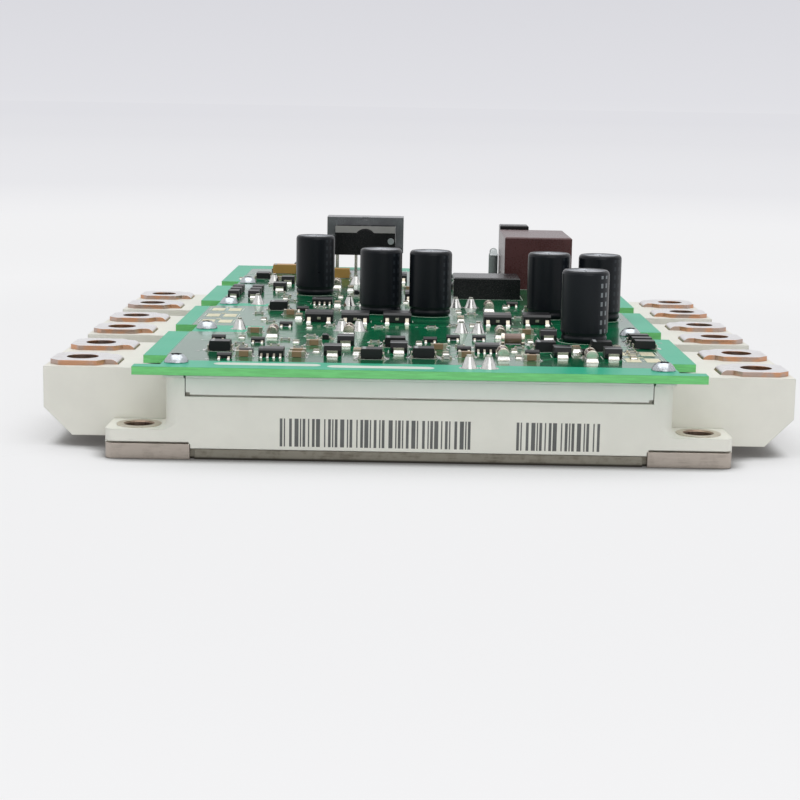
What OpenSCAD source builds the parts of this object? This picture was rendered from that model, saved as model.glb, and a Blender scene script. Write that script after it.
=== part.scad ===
// Six-switch power module with a gate driver board soldered on top.
// Origin at the middle of the underside of the base plate: X across, Y along, Z up.
// The end that carries the print field looks towards -Y.

/* [Base plate] */
// width of the base plate across the module
plate_w = 122; // [120:0.5:124]
// thickness of the base plate
plate_t = 3; // [2.5:0.1:4]
// spacing of the three phases and of the mounting screws along the module
phase_pitch = 50; // [49.5:0.1:51]
// distance of a mounting hole from the two nearest plate edges
hole_edge = 6; // [5.5:0.1:6.5]
// diameter of a mounting hole
hole_d = 5.5; // [5:0.1:6]
// depth of the step in the two short edges between the corner ears
plate_relief = 1.2; // [0.8:0.1:2]
// depth by which the foot of that step stays behind the ears
foot_back = 0.4; // [0.2:0.1:0.6]
// width of the slot between that foot and an ear
foot_slot = 0.9; // [0.5:0.1:2]
// length of a corner ear along the short edge
ear_w = 16.6; // [15:0.1:18]
// radius of the outer corners of the plate and the ears
ear_r = 2; // [1:0.1:2.5]

/* [Housing] */
// height of the housing above the base plate
body_h = 13; // [12.5:0.1:15]
// depth of the screw wells between the plate edge and the closed body
well_w = 11.75; // [11.25:0.05:12]
// thickness of the housing walls
wall = 4; // [3.6:0.1:4.4]
// radius of the upright corners of the body
corner_r = 3; // [1:0.5:3.5]
// how far the terminal blocks stand out past the plate
block_reach = 14; // [13:0.1:16]
// length of a terminal block along the module
block_l = 38; // [37:0.1:38.5]
// height and depth of the slanted underside of a terminal block
block_slant = 5.6; // [3:0.1:6]
// how far the housing reaches down over the edges of the plate
skirt = 0.8; // [0.4:0.1:1.2]
// thickness of the plastic on a mounting ear
ear_t = 2.75; // [2:0.05:3.2]
// radius of the hollow between the body and an ear
ear_fillet = 2; // [1:0.1:2]
// width of the bars between the phases
bar_w = 5; // [4:0.1:5.4]
// height of those bars above the plate
bar_h = 9; // [8.5:0.1:9.2]
// shadow gap under the rim of the ears
rim_gap = 0.4; // [0.2:0.05:0.6]
// depth of that gap
rim_depth = 1.2; // [0.5:0.1:1.5]

/* [Lid] */
// thickness of the lid
lid_t = 1.8; // [1.4:0.1:2.2]
// height of the lid face seen at the two ends
lid_face = 3.6; // [3:0.1:4]
// free play of the lid against the side walls
lid_gap = 0.15; // [0.1:0.05:0.25]
// groove along the lower edge of the lid face
lid_groove = 0.35; // [0.2:0.05:0.5]

/* [Power terminals] */
// distance of a terminal hole outwards from the plate edge
tab_offset = 7.5; // [7.3:0.1:7.8]
// spacing of the two terminals of one phase
pair_pitch = 22; // [21:0.1:22.5]
// width of a terminal tab
tab_w = 12; // [11:0.1:13]
// thickness of the terminal sheet
tab_t = 1; // [0.8:0.1:1.2]
// diameter of a terminal hole
tab_hole_d = 6.4; // [6.2:0.1:6.6]
// distance of the outer tab end from the hole
tab_end = 5.8; // [5.4:0.1:6]
// corner cut on the outer tab end
tab_cut = 2; // [1:0.1:2.5]
// width of the leg that goes down into the housing
leg_w = 8; // [6:0.1:9]
// inner bend radius of the leg
bend_r = 0.6; // [0.5:0.05:0.7]
// clear height of the inner foot above the plate
foot_rise = 3; // [2.8:0.1:3.4]
// how far the inner foot stands out into the cavity
foot_reach = 2; // [1:0.1:2.5]
// width of the nuts across the flats
nut_af = 10; // [9.6:0.1:10.2]
// height of the nuts
nut_h = 5; // [4.5:0.1:5.2]
// bore of the nuts, thread not shown
nut_d = 6; // [5.8:0.1:6.2]
// free play of a nut in its pocket and under its tab
nut_gap = 0.15; // [0.1:0.05:0.25]
// depth of the blind screw hole below the nut
nut_well = 4; // [3:0.1:4.5]
// diameter of the blind screw hole below the nut
nut_bore = 7; // [6.8:0.1:7.4]

/* [Mounting bushes] */
// outer diameter of the bushes in the ears
bush_d = 8.8; // [8:0.1:9]
// how far a bush stands out above the ear
bush_rise = 0.2; // [0.1:0.05:0.4]
// width and depth of the cone in the upper end of a bush
bush_cone = 0.3; // [0.2:0.1:0.9]

/* [Inside] */
// free space between a ceramic substrate and the side walls
dcb_gap = 2.25; // [1.25:0.05:3.25]
// free space between a ceramic substrate and the bars
dcb_side = 1; // [0.8:0.05:1.5]
// thickness of the ceramic
ceramic_t = 0.64; // [0.5:0.02:0.8]
// thickness of its copper layers
copper_t = 0.3; // [0.2:0.05:0.4]
// copper pull-back from the ceramic edge
copper_edge = 1; // [0.6:0.1:1.4]
// etched gap between copper areas
etch_gap = 1; // [0.8:0.1:1.4]
// edge length of a switch chip
igbt_size = 11; // [9:0.1:11.5]
// edge length of a diode chip
diode_size = 8; // [7:0.1:8.5]
// thickness of the chips
chip_t = 0.2; // [0.15:0.05:0.4]
// width of a bond ribbon
ribbon_w = 2; // [1:0.1:3]
// thickness of a bond ribbon
ribbon_t = 0.3; // [0.2:0.05:0.4]
// height of the ribbon loop
ribbon_h = 2; // [1.5:0.1:2.5]
// fill height of the soft gel above the plate
gel_h = 7.5; // [7:0.1:8]

/* [Signal pins] */
// grid of the signal pins across the module
pin_grid = 3.81; // [3.75:0.01:3.9]
// diameter of a signal pin
pin_d = 1.1; // [0.9:0.05:1.2]
// height of a pin above the board
pin_rise = 2.6; // [2:0.1:3]
// depth of a pin in the plastic
pin_root = 5; // [4:0.1:6]
// base diameter of a solder cone
cone_d = 3.1; // [2.4:0.1:3.3]
// height of a solder cone
cone_h = 2.2; // [1.5:0.1:2.4]

/* [Driver board] */
// distance of the long board edges inside the plate edges
board_side = 6; // [5:0.5:6.5]
// thickness of the board
board_t = 1.6; // [1.4:0.1:2]
// height of the board supports above the housing
dome_h = 1; // [1:0.1:1.4]
// overhang of the board at the print end
board_front = 3.5; // [3:0.1:5]
// overhang of the board tongue at the far end
board_tongue = 50; // [49.5:0.5:53]
// overhang of the rest of the board at the far end
board_rear = 35; // [34.5:0.5:37]
// side of the tongue measured from the middle
tongue_x = 2; // [1:0.5:5]
// width of the screw notches
notch_w = 12; // [11:0.1:12.4]
// gap between the closed body and the inner side of a screw notch
notch_gap = 0.75; // [0.4:0.05:1.2]
// head diameter of a board screw
screw_head_d = 4.7; // [4.4:0.1:5.4]
// head height of a board screw
screw_head_h = 1.9; // [1.4:0.1:2]
// thickness of the rim under the round of the head
screw_rim = 0.2; // [0.2:0.05:0.4]
// shank diameter of a board screw
screw_d = 2.5; // [2:0.1:2.6]
// length of a board screw
screw_l = 8; // [6:0.5:9]
// width of the drive socket across the flats
socket_af = 2.1; // [1.6:0.1:2.4]
// free play of wires and pins in the board holes
hole_gap = 0.15; // [0.1:0.05:0.2]
// length of wire ends below the board
wire_end = 0.6; // [0.3:0.1:0.8]

/* [Round capacitors] */
// diameter of a capacitor can
can_d = 10.2; // [9:0.1:10.4]
// height of a capacitor can
can_h = 15.5; // [14:0.1:17]
// depth of the crimp groove
can_crimp = 0.3; // [0.2:0.05:0.4]
// lead spacing of a capacitor
can_pitch = 5; // [4.5:0.1:5.5]
// wire diameter of the leaded parts
wire_d = 0.6; // [0.5:0.05:0.8]

/* [Box parts] */
// width of the sloped upper edges of box parts
box_edge = 0.3; // [0.2:0.05:0.6]
// width of the film capacitor
film_w = 18.5; // [16:0.1:18.8]
// length of the film capacitor
film_l = 31; // [28:0.1:31.5]
// height of the film capacitor
film_h = 14.4; // [12:0.1:16]
// wire spacing of the film capacitor
film_pitch = 25; // [22.5:0.5:26]
// gap between the film capacitor and the heads of the board screws
film_gap = 2.3; // [2:0.05:2.6]
// width of the coupler block
coupler_w = 17.4; // [16:0.1:18]
// length of the coupler block
coupler_l = 14; // [12:0.1:15]
// height of the coupler block
coupler_h = 5.6; // [4.5:0.1:6.5]
// width of the rear box capacitor
rear_w = 8.4; // [8:0.1:9.4]
// length of the rear box capacitor
rear_l = 6.6; // [6:0.1:7]
// height of the rear box capacitor
rear_h = 15.4; // [12:0.1:16]
// gap between the film capacitor and the rear box capacitor
rear_gap = 3; // [2:0.1:3.4]
// lens diameter of the indicator
lens_d = 2.3; // [1.9:0.1:2.4]
// straight height of the lens
lens_h = 1.1; // [0.8:0.1:2.4]
// height of the spacer under the indicator
spacer_h = 6.2; // [4:0.1:7]
// rim of the indicator around its lens
lens_rim = 0.2; // [0.15:0.05:0.3]
// gap between the indicator and the rear box capacitor
lamp_gap = 0.3; // [0.3:0.05:0.8]
// wire spacing of the indicator
lamp_pitch = 1.2; // [1.1:0.05:1.3]

/* [Transformer] */
// width of the transformer
core_w = 22.7; // [21.5:0.1:23]
// length of the transformer
core_l = 13; // [12:0.1:13.5]
// height of the core
core_h = 10.5; // [10.2:0.1:11]
// thickness of the core bars
core_bar = 2.4; // [2.2:0.1:2.4]
// clear height under the core
core_rise = 6.2; // [5.5:0.1:6.5]
// gap between the core and the flanges of the bobbin
core_gap = 1; // [0.8:0.1:1.2]
// width of the slot in the upper core
core_slot = 1.6; // [1.2:0.1:2]
// depth of that slot
core_slot_d = 0.8; // [0.5:0.1:1.2]
// diameter of the winding
winding_d = 5.2; // [5:0.1:5.2]
// diameter of the bobbin tube
tube_d = 4.6; // [4.4:0.1:4.7]
// wall of the bobbin tube
tube_wall = 0.4; // [0.3:0.05:0.5]
// how far the core rod ends behind the flange face
rod_back = 0.4; // [0.2:0.1:0.8]
// flange thickness of the bobbin
flange_t = 1; // [0.8:0.1:1.2]

/* [Small parts] */
// length of a moulded diode body
smb_l = 4.5; // [4:0.1:4.8]
// width of a moulded diode body
smb_w = 3.5; // [3:0.1:3.6]
// height of a moulded diode
smb_h = 2.1; // [1.8:0.1:2.4]
// length of a glass diode
melf_l = 5; // [4:0.1:5.2]
// diameter of a glass diode
melf_d = 2.4; // [2:0.1:2.5]
// edge length of a power transistor body
dpak_w = 6.4; // [6:0.1:6.6]
// height of a power transistor
dpak_h = 2.3; // [2:0.1:2.5]
// length of a driver chip body
ic_l = 5; // [4.6:0.1:5.2]
// width of a driver chip body
ic_w = 3.9; // [3.6:0.1:4]
// height of a driver chip
ic_h = 1.7; // [1.5:0.1:1.9]
// length of a small transistor
sot_l = 2.9; // [2.6:0.1:3]
// height of a small transistor
sot_h = 1.1; // [0.9:0.1:1.3]
// length of a large chip
chip_l = 3.2; // [2.8:0.1:3.3]
// width of a large chip
chip_w = 1.6; // [1.4:0.1:1.7]
// height of a ceramic chip capacitor
chip_h = 1.2; // [0.8:0.1:1.4]
// length of a small chip resistor
res_l = 2; // [1.8:0.1:2.1]
// width of a small chip resistor
res_w = 1.25; // [1.1:0.05:1.3]
// height of a small chip resistor
res_h = 0.5; // [0.4:0.05:0.6]
// length of a tantalum capacitor
tant_l = 7; // [6.4:0.1:7.3]
// height of a tantalum capacitor
tant_h = 2.7; // [2.2:0.1:3]
// number of contact rows in the signal header
header_rows = 3; // [2:1:3]
// contact spacing of the signal header
header_pitch = 2.54; // [2.5:0.01:2.6]
// height of the header base
header_base = 2.5; // [2:0.1:3]
// height of the header contacts above the board
header_h = 8; // [7:0.1:9]

/* [Hidden] */
$fn = 48;
plate_l = 3 * phase_pitch + 2 * hole_edge;
plate_x = plate_w / 2;
plate_y = plate_l / 2;
hole_x = plate_x - hole_edge;
screw_rows = [-1.5, -0.5, 0.5, 1.5];
phases = [-1, 0, 1];
sides = [-1, 1];
deck = plate_t + body_h;
block_x = plate_x + block_reach;
body_w = plate_w - 2 * well_w;
body_x = body_w / 2;
cavity_x = body_x - wall;
cavity_y = plate_y - wall;
lid_w = 2 * cavity_x - 2 * lid_gap;
term_x = plate_x + tab_offset;
tab_out = term_x + tab_end;
leg_x = tab_out - 2 * tab_end - bend_r - tab_t - 0.5;
foot_z = plate_t + foot_rise;
foot_x = cavity_x - foot_reach;
nut_z = deck - nut_h - nut_gap;
bay_l = phase_pitch - bar_w;
dcb_w = 2 * cavity_x - 2 * dcb_gap;
dcb_l = bay_l - 2 * dcb_side;
dcb_t = ceramic_t + 2 * copper_t;
chip_pitch = (dcb_w - 2 * copper_edge) / 6;
chip_z = plate_t + dcb_t;
igbt_y = dcb_l / 2 - copper_edge - igbt_size / 2 - 1;
diode_y = -dcb_l / 2 + copper_edge + diode_size / 2 + 9;
pad_split = -dcb_l / 2 + copper_edge + 7;
board_w = plate_w - 2 * board_side;
board_z = deck + dome_h;
top_z = board_z + board_t;
front_y = -plate_y - board_front;
tongue_y = plate_y + board_tongue;
rear_y = plate_y + board_rear;
dome_x = body_x - wall / 2;
screw_y = [-plate_y + 3, -phase_pitch / 2, phase_pitch / 2, plate_y - 3];
pin_row_y = [-plate_y + wall / 2, -phase_pitch / 2, phase_pitch / 2, plate_y - wall / 2];
// the parts on the board keep their share of the width and of the length
spread_x = dome_x / 47.25;
spread_y = plate_y / 81;
// signal pins as grid step across and row along the module
pins = [
    [2.5, 0], [3.5, 0],
    [-10.5, 1], [-4.5, 1], [-3.5, 1], [2.5, 1], [3.5, 1],
    [-10.5, 2], [-4.5, 2], [-3.5, 2], [2.5, 2], [3.5, 2],
    [-10.5, 3], [-4.5, 3], [-3.5, 3]];
cans = [[-27.1, 52], [-9.1, 12], [2.9, 8.5], [31.3, 7.5], [43.2, 4.8], [35.8, -36]];
film_at = [dome_x - screw_head_d / 2 - film_gap - film_w / 2, 72 * spread_y + film_l / 2];
coupler_at = [18.2 * spread_x, 45 * spread_y + coupler_l / 2];
rear_at = [28.6 * spread_x, film_at[1] + film_l / 2 + rear_gap + rear_l / 2];
lamp_at = [rear_at[0] - rear_w / 2 - lamp_gap - lens_d / 2 - lens_rim, rear_at[1]];
core_at = [-15.4 * spread_x, 110 * spread_y + core_l / 2];
header_at = [-33 * spread_x, 117 * spread_y];
core_z = top_z + core_rise;
header_w = header_rows * header_pitch;
header_l = 2 * header_pitch;

// small parts on the board as place across, place along and turn
ics = [[-29.6, -67, 0], [14, -55.5, 0], [-24, 28, 0], [8, 70, 0], [-44, 92, 90]];
dpaks = [
    [-23, -7, 0], [-14.6, -7.5, 0], [-4.9, -6.5, 0], [18.4, -7, 0], [27.6, -5.5, 0],
    [-10, 40, 0], [0, 41, 0], [-6, 90, 0], [48, 60, 90]];
diodes = [
    [-17.5, -64, 90], [-15.4, -48.5, 90], [-4.2, -58, 90], [29, -60.5, 90], [39.2, -61.5, 90],
    [28.2, -34, 90], [-40.6, -60, 0], [-9.6, -68, 0], [-5, -50, 0], [0.8, -65.5, 0], [26.2, -53, 0],
    [38, -51, 0], [-37, 60, 90], [-34, 14, 0], [-36, 78, 90], [14, 92, 0], [45, 36, 0]];
glass = [
    [-31.7, -36, 90], [17.9, -31.8, 90], [16.8, -65, 90], [34.4, -66, 90], [17.6, 19, 90],
    [-15.3, -31.6, 90], [20, -43, 0], [-22, 70, 90]];
gates = [
    [47.6, -46.5, 0], [47.6, -41.5, 0], [47.6, -36.5, 0],
    [-47.6, 41, 90], [-47.6, 47.6, 90], [-47.6, 54.2, 90],
    [-42.4, 41, 90], [-42.4, 47.6, 90], [-42.4, 54.2, 90]];
sots = [
    [-34.9, -64.6, 0], [9.2, -56, 0], [7.4, -38, 0], [13, -37.4, 0], [2.4, -42, 0], [-30, -19, 0],
    [-42.6, -44, 0], [-38.6, -71.4, 0], [-34, -47, 0], [-20, -40, 90], [23, -60, 0], [34, -58, 90],
    [-28, 12, 0], [24, 30, 0], [-16, 52, 90], [0, 56, 0], [-32, 88, 0], [10, 100, 0], [40, 28, 90]];
caps = [
    [-35, -68.4, 0], [-24.5, -68, 0], [-24.5, -64, 0], [9.4, -64, 0], [-12.6, -62.4, 90],
    [32.6, -53, 90], [22.4, -67, 0], [-22, -50, 0], [-36, -31, 0], [4, -53, 0], [24, -26, 0],
    [-28, -4, 90], [-30.5, 4, 0], [10, -4, 90], [36, -9, 0], [-20, 24, 90], [-6, 28, 0], [28, 20, 0],
    [-18, 62, 90], [-2, 64, 0], [-31, 66, 0], [-40, 86, 0], [6, 88, 90], [-27, 103.6, 0], [44, 46, 0]];
resistors = [
    [-36.4, -58, 0], [-36.4, -55.6, 0], [-31, -58, 90], [-28.6, -58, 90], [-25, -58.4, 0],
    [-25, -55, 0], [-30, -53, 0], [-37.5, -51, 0], [-26, -46, 90], [-28.5, -43, 0], [-23.4, -36, 0],
    [-38, -40, 90], [-21, -60, 90], [-12, -55.6, 0], [-10, -52.6, 90], [-9.4, -44, 0], [0, -45, 90],
    [5, -47.4, 0], [8.6, -49, 0], [12.6, -49.4, 0], [17, -49, 90], [19.6, -55, 90], [21, -50, 0],
    [5.4, -60.4, 90], [5.4, -67, 0], [20, -64, 90], [24.6, -44.4, 0], [27, -45.4, 90], [24, -39, 90],
    [32.4, -46.4, 0], [34, -62.4, 0], [44, -56, 0], [44, -53, 0], [43.4, -62, 90], [42, -46, 90],
    [22, -20, 0], [25, -17, 90], [30, -16, 0], [8, -14, 0], [12.4, -13, 90], [3, -17, 0], [-9, -18, 0],
    [-20, -17, 0], [-24.6, -21, 90], [-34, -12, 0], [-36, -7, 90], [-38, 4, 0], [-24, 8, 90],
    [-20, 14, 0], [-24, 20, 0], [10, 14, 90], [13, 10, 0], [22, 12, 90], [24, 4, 0], [36, 18, 0],
    [22, 26, 90], [-14, 30, 0], [-3, 33, 90], [-32, 32, 0], [-34, 38, 90], [-34, 44, 0], [-20, 44, 90],
    [-16, 46, 0], [5, 48, 90], [5, 58, 0], [-36, 52, 0], [-22, 60, 0], [-12, 66, 90], [-26, 78, 90],
    [-40, 72, 0], [-28, 84, 0], [-18, 90, 0], [2, 94, 90], [14, 98, 0], [51, 70, 90], [49, 88, 0],
    [-50, 88, 90], [-46, 104, 0]];
tants = [[-39, 107.6, 0], [-22.8, 97.2, 0], [38.5, 109.6, 0]];

// parts to draw: all of them, or one by name

// box from a corner to the opposite corner
module span(a, b) {
    translate(a)
        cube(b - a);
}

// box standing on a height, centred across and along
module slab(w, l, h, z = 0) {
    translate([-w / 2, -l / 2, z])
        cube([w, l, h]);
}

// profile in X and Z drawn out along Y, centred
module bar_y(points, l) {
    rotate([90, 0, 0])
        linear_extrude(height = l, center = true)
            polygon(points);
}

module at_mount_holes() {
    for (s = sides, k = screw_rows)
        translate([s * hole_x, k * phase_pitch, 0])
            children();
}

module at_board_screws() {
    for (s = sides, y = screw_y)
        translate([s * dome_x, y, 0])
            children();
}

module at_pins() {
    for (p = pins)
        translate([p[0] * pin_grid * spread_x, pin_row_y[p[1]], 0])
            children();
}

function laid(places) = [for (p = places) [p[0] * spread_x, p[1] * spread_y, len(p) > 2 ? p[2] : 0]];

// the small parts stand on the upper face of the board
module on_board(places) {
    for (p = places)
        translate([p[0], p[1], top_z])
            rotate([0, 0, len(p) > 2 ? p[2] : 0])
                children();
}

// the twelve terminals count from the print end, side -1 is the left
function term_y(i) = (floor((i - 1) / 2) - 1) * phase_pitch + ((i - 1) % 2 - 0.5) * pair_pitch;

module at_terminals() {
    for (s = sides, i = [1:6])
        translate([s * term_x, term_y(i), 0])
            children();
}

// Base plate

// flat plate with rounded outer corners
module ear_slab(h) {
    slab(plate_w - 2 * ear_r, plate_l, h);
    slab(plate_w, plate_l - 2 * ear_r, h);
    for (sx = sides, sy = sides)
        translate([sx * (plate_x - ear_r), sy * (plate_y - ear_r), 0])
            cylinder(h = h, r = ear_r);
}

module base_plate() {
    color("#b9b2a8")
    difference() {
        ear_slab(plate_t);
        at_mount_holes()
            translate([0, 0, -1])
                cylinder(h = plate_t + 2, d = hole_d);
        for (s = sides)
            translate([0, s * plate_y, 0]) {
                translate([0, 0, plate_t - skirt - lid_gap])
                    slab(plate_w - 2 * ear_w, 2 * plate_relief, plate_t);
                translate([0, 0, -1])
                    slab(plate_w - 2 * ear_w, 2 * foot_back, plate_t + 2);
                for (t = sides)
                    translate([t * (plate_w / 2 - ear_w - foot_slot / 2), 0, -1])
                        slab(foot_slot, 2 * plate_relief, plate_t + 2);
            }
    }
}

module mounting_bushes() {
    color("#c9b79a")
    at_mount_holes()
        difference() {
            translate([0, 0, plate_t])
                cylinder(h = ear_t + bush_rise, d = bush_d);
            cylinder(h = deck, d = hole_d);
            translate([0, 0, plate_t + ear_t + bush_rise - bush_cone])
                cylinder(h = 2 * bush_cone, d1 = hole_d, d2 = hole_d + 4 * bush_cone);
        }
}

// Housing

// closed body with rounded upright corners
module body_box(h) {
    slab(body_w - 2 * corner_r, plate_l, h);
    slab(body_w, plate_l - 2 * corner_r, h);
    for (sx = sides, sy = sides)
        translate([sx * (body_x - corner_r), sy * (plate_y - corner_r), 0])
            cylinder(h = h, r = corner_r);
}

// hollow fillet along a straight wall, its corner on the Y axis
module wall_fillet(l) {
    difference() {
        translate([-0.5, -l / 2, -0.5])
            cube([ear_fillet + 0.5, l, ear_fillet + 0.5]);
        translate([ear_fillet, 0, ear_fillet])
            rotate([90, 0, 0])
                cylinder(h = l + 2, r = ear_fillet, center = true);
    }
}

// the same fillet around an upright corner of the body
module corner_fillet() {
    r = corner_r + ear_fillet;
    difference() {
        translate([0, 0, -0.5])
            cylinder(h = ear_fillet + 0.5, r = r);
        translate([0, 0, ear_fillet])
            rotate_extrude()
                translate([r, 0])
                    circle(r = ear_fillet);
    }
}

// hollows where the body rises from the ears, one in each screw well
module ear_fillets() {
    well = phase_pitch - block_l;
    last = plate_y - corner_r - (phase_pitch + block_l / 2);
    for (sx = sides, sy = sides)
        mirror([sx < 0 ? 1 : 0, 0, 0])
            mirror([0, sy < 0 ? 1 : 0, 0])
                translate([0, 0, plate_t + ear_t]) {
                    translate([body_x, phase_pitch / 2, 0])
                        wall_fillet(well);
                    translate([body_x, plate_y - corner_r - last / 2, 0])
                        wall_fillet(last);
                    intersection() {
                        translate([body_x - corner_r, plate_y - corner_r, 0])
                            corner_fillet();
                        translate([body_x - corner_r, plate_y - corner_r, -1])
                            cube([corner_r + ear_fillet, corner_r, ear_fillet + 2]);
                    }
                }
}

// carrier of two terminals, it stands on the ear strip and against the body
module terminal_block() {
    low = plate_t - skirt;
    shelf = plate_t + ear_t;
    bar_y([
        [body_x, shelf], [plate_x, shelf], [plate_x, plate_t], [plate_x + lid_gap, plate_t],
        [plate_x + lid_gap, low], [block_x - block_slant, low], [block_x, low + block_slant],
        [block_x, deck], [body_x, deck]], block_l);
}

// hexagonal pocket with a screw hole below it
module nut_pocket() {
    translate([0, 0, nut_z])
        cylinder(h = deck - nut_z + 1, d = (nut_af + 2 * nut_gap) / cos(30), $fn = 6);
    translate([0, 0, nut_z - nut_well])
        cylinder(h = nut_well + 1, d = nut_bore);
}

// slot in the plastic around the leg and the foot of a terminal
module leg_slot() {
    translate([leg_x, -leg_w / 2, foot_z])
        cube([tab_t + bend_r, leg_w, deck]);
    translate([foot_x, -leg_w / 2, foot_z])
        cube([leg_x - foot_x + tab_t, leg_w, tab_t]);
}

module housing_frame() {
    color("#e4e2d8")
    difference() {
        union() {
            translate([0, 0, plate_t])
                body_box(body_h);
            translate([0, 0, plate_t])
                ear_slab(ear_t);
            ear_fillets();
            for (s = sides)
                translate([0, s * (plate_y - (plate_relief - lid_gap) / 2), plate_t - skirt])
                    slab(plate_w - 2 * ear_w - 2 * lid_gap, plate_relief - lid_gap, skirt + 1);
            at_board_screws()
                translate([0, 0, deck - 1])
                    cylinder(h = dome_h + 1, d = wall);
        }
        // cavity in three bays, open above the bars
        for (p = phases) {
            low = p * phase_pitch - (p < 0 ? plate_y - phase_pitch - wall : bay_l / 2);
            high = p * phase_pitch + (p > 0 ? plate_y - phase_pitch - wall : bay_l / 2);
            span([-cavity_x, low, plate_t - 1], [cavity_x, high, deck + 1]);
        }
        span([-cavity_x, -cavity_y, plate_t + bar_h], [cavity_x, cavity_y, deck + 1]);
        // seat of the lid in the two end walls
        translate([0, 0, deck - lid_face])
            slab(lid_w + 2 * lid_gap, plate_l + 2, lid_face + 1);
        at_mount_holes()
            cylinder(h = deck, d = bush_d);
        for (s = sides, i = [1:6])
            translate([0, term_y(i), 0])
                mirror([s < 0 ? 1 : 0, 0, 0])
                    leg_slot();
        at_board_screws()
            translate([0, 0, board_z + board_t - screw_l])
                cylinder(h = screw_l, d = screw_d);
        at_pins()
            translate([0, 0, deck - lid_face - pin_root])
                cylinder(h = pin_root + 1, d = pin_d);
        // shadow gap between the ears and the plate
        for (sx = sides, sy = sides)
            translate([sx * (plate_x - ear_w / 2), sy * plate_y, plate_t - 1])
                slab(ear_w - 2 * lid_gap, 2 * rim_depth, rim_gap + 1);
    }
}

// the three terminal blocks of one side, -1 is the left
module terminal_blocks(side) {
    color("#e4e2d8")
    mirror([side < 0 ? 1 : 0, 0, 0])
        difference() {
            for (p = phases)
                translate([0, p * phase_pitch, 0])
                    terminal_block();
            for (i = [1:6])
                translate([0, term_y(i), 0]) {
                    leg_slot();
                    translate([term_x, 0, 0])
                        nut_pocket();
                }
        }
}

module lid() {
    color("#e9e7de")
    difference() {
        union() {
            translate([0, 0, deck - lid_t])
                slab(lid_w, plate_l, lid_t);
            for (s = sides)
                translate([0, s * (plate_y - wall / 2), deck - lid_face])
                    slab(lid_w, wall, lid_face);
        }
        for (s = sides)
            translate([0, s * plate_y, deck - lid_face - 1])
                slab(lid_w + 2, 1.2, lid_groove + 1);
        at_pins()
            translate([0, 0, deck - lid_face - 1])
                cylinder(h = lid_face + 2, d = pin_d + 2 * hole_gap);
        for (sx = sides, sy = sides)
            translate([sx * lid_w / 2, sy * plate_y, deck - lid_face - 1])
                slab(1.6, 2, 1.8);
    }
}

// Power terminals

// tab, bend, leg and inner foot of one terminal on the right side
module power_terminal() {
    near = leg_x + tab_t + bend_r;
    color("#c7c4c2")
    difference() {
        union() {
            translate([0, 0, deck])
                linear_extrude(height = tab_t)
                    polygon([
                        [near, -leg_w / 2], [near + 1, -leg_w / 2], [near + 2.5, -tab_w / 2],
                        [tab_out - tab_cut, -tab_w / 2], [tab_out, -tab_w / 2 + tab_cut],
                        [tab_out, tab_w / 2 - tab_cut], [tab_out - tab_cut, tab_w / 2],
                        [near + 2.5, tab_w / 2], [near + 1, leg_w / 2], [near, leg_w / 2]]);
            translate([near, leg_w / 2, deck - bend_r])
                rotate([90, 0, 0])
                    rotate([0, 0, 90])
                        rotate_extrude(angle = 90)
                            translate([bend_r, 0])
                                square([tab_t, leg_w]);
            translate([leg_x, -leg_w / 2, foot_z])
                cube([tab_t, leg_w, deck - bend_r - foot_z]);
            translate([foot_x, -leg_w / 2, foot_z])
                cube([leg_x + tab_t - foot_x, leg_w, tab_t]);
        }
        translate([term_x, 0, deck - 1])
            cylinder(h = tab_t + 2, d = tab_hole_d);
    }
}

module terminal_left(i) {
    translate([0, term_y(i), 0])
        mirror([1, 0, 0])
            power_terminal();
}

module terminal_right(i) {
    translate([0, term_y(i), 0])
        power_terminal();
}

module terminal_nuts() {
    color("#a9a69c")
    at_terminals()
        translate([0, 0, nut_z])
            difference() {
                cylinder(h = nut_h, d = nut_af / cos(30), $fn = 6);
                translate([0, 0, -1])
                    cylinder(h = nut_h + 2, d = nut_d);
            }
}

// Inside

// ceramic with a copper layer below and three copper areas above
module substrate() {
    in_w = dcb_w - 2 * copper_edge;
    in_l = dcb_l - 2 * copper_edge;
    low = -in_l / 2;
    half = (in_w - etch_gap) / 2;
    color("#d8d2c4") {
        translate([0, 0, plate_t])
            slab(in_w, in_l, copper_t);
        translate([0, 0, plate_t + copper_t])
            slab(dcb_w, dcb_l, ceramic_t);
        translate([0, 0, plate_t + copper_t + ceramic_t]) {
            span([-in_w / 2, low, 0], [in_w / 2, pad_split, copper_t]);
            for (s = sides)
                translate([s * (half + etch_gap) / 2, (pad_split + etch_gap - low) / 2, 0])
                    slab(half, -low - pad_split - etch_gap, copper_t);
        }
    }
}

module at_phase(i) {
    translate([0, (i - 2) * phase_pitch, 0])
        children();
}

module chip_row(size, y) {
    for (p = phases, k = [-2.5:1:2.5])
        translate([k * chip_pitch, p * phase_pitch + y, chip_z])
            slab(size, size, chip_t);
}

module igbt_chips() {
    color("#8d9096")
        chip_row(igbt_size, igbt_y);
}

module diode_chips() {
    color("#77808c")
        chip_row(diode_size, diode_y);
}

// one flat loop from a diode chip down to the copper in front of it
module ribbon() {
    y0 = diode_y;
    y1 = pad_split - 3;
    rise = chip_z + ribbon_h;
    top = chip_z + chip_t;
    translate([0, 0, 0])
        rotate([90, 0, 90])
            linear_extrude(height = ribbon_w, center = true)
                polygon([
                    [y0 + 1, top], [y0 + 1, top + ribbon_t], [y0 - 1, top + ribbon_t], [y0 - 2, rise],
                    [y1 + 2, rise], [y1 + 1, chip_z + ribbon_t], [y1 - 1, chip_z + ribbon_t],
                    [y1 - 1, chip_z], [y1 + 1.2, chip_z], [y1 + 2.2, rise - ribbon_t],
                    [y0 - 2.2, rise - ribbon_t], [y0 - 1.2, top]]);
}

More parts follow.
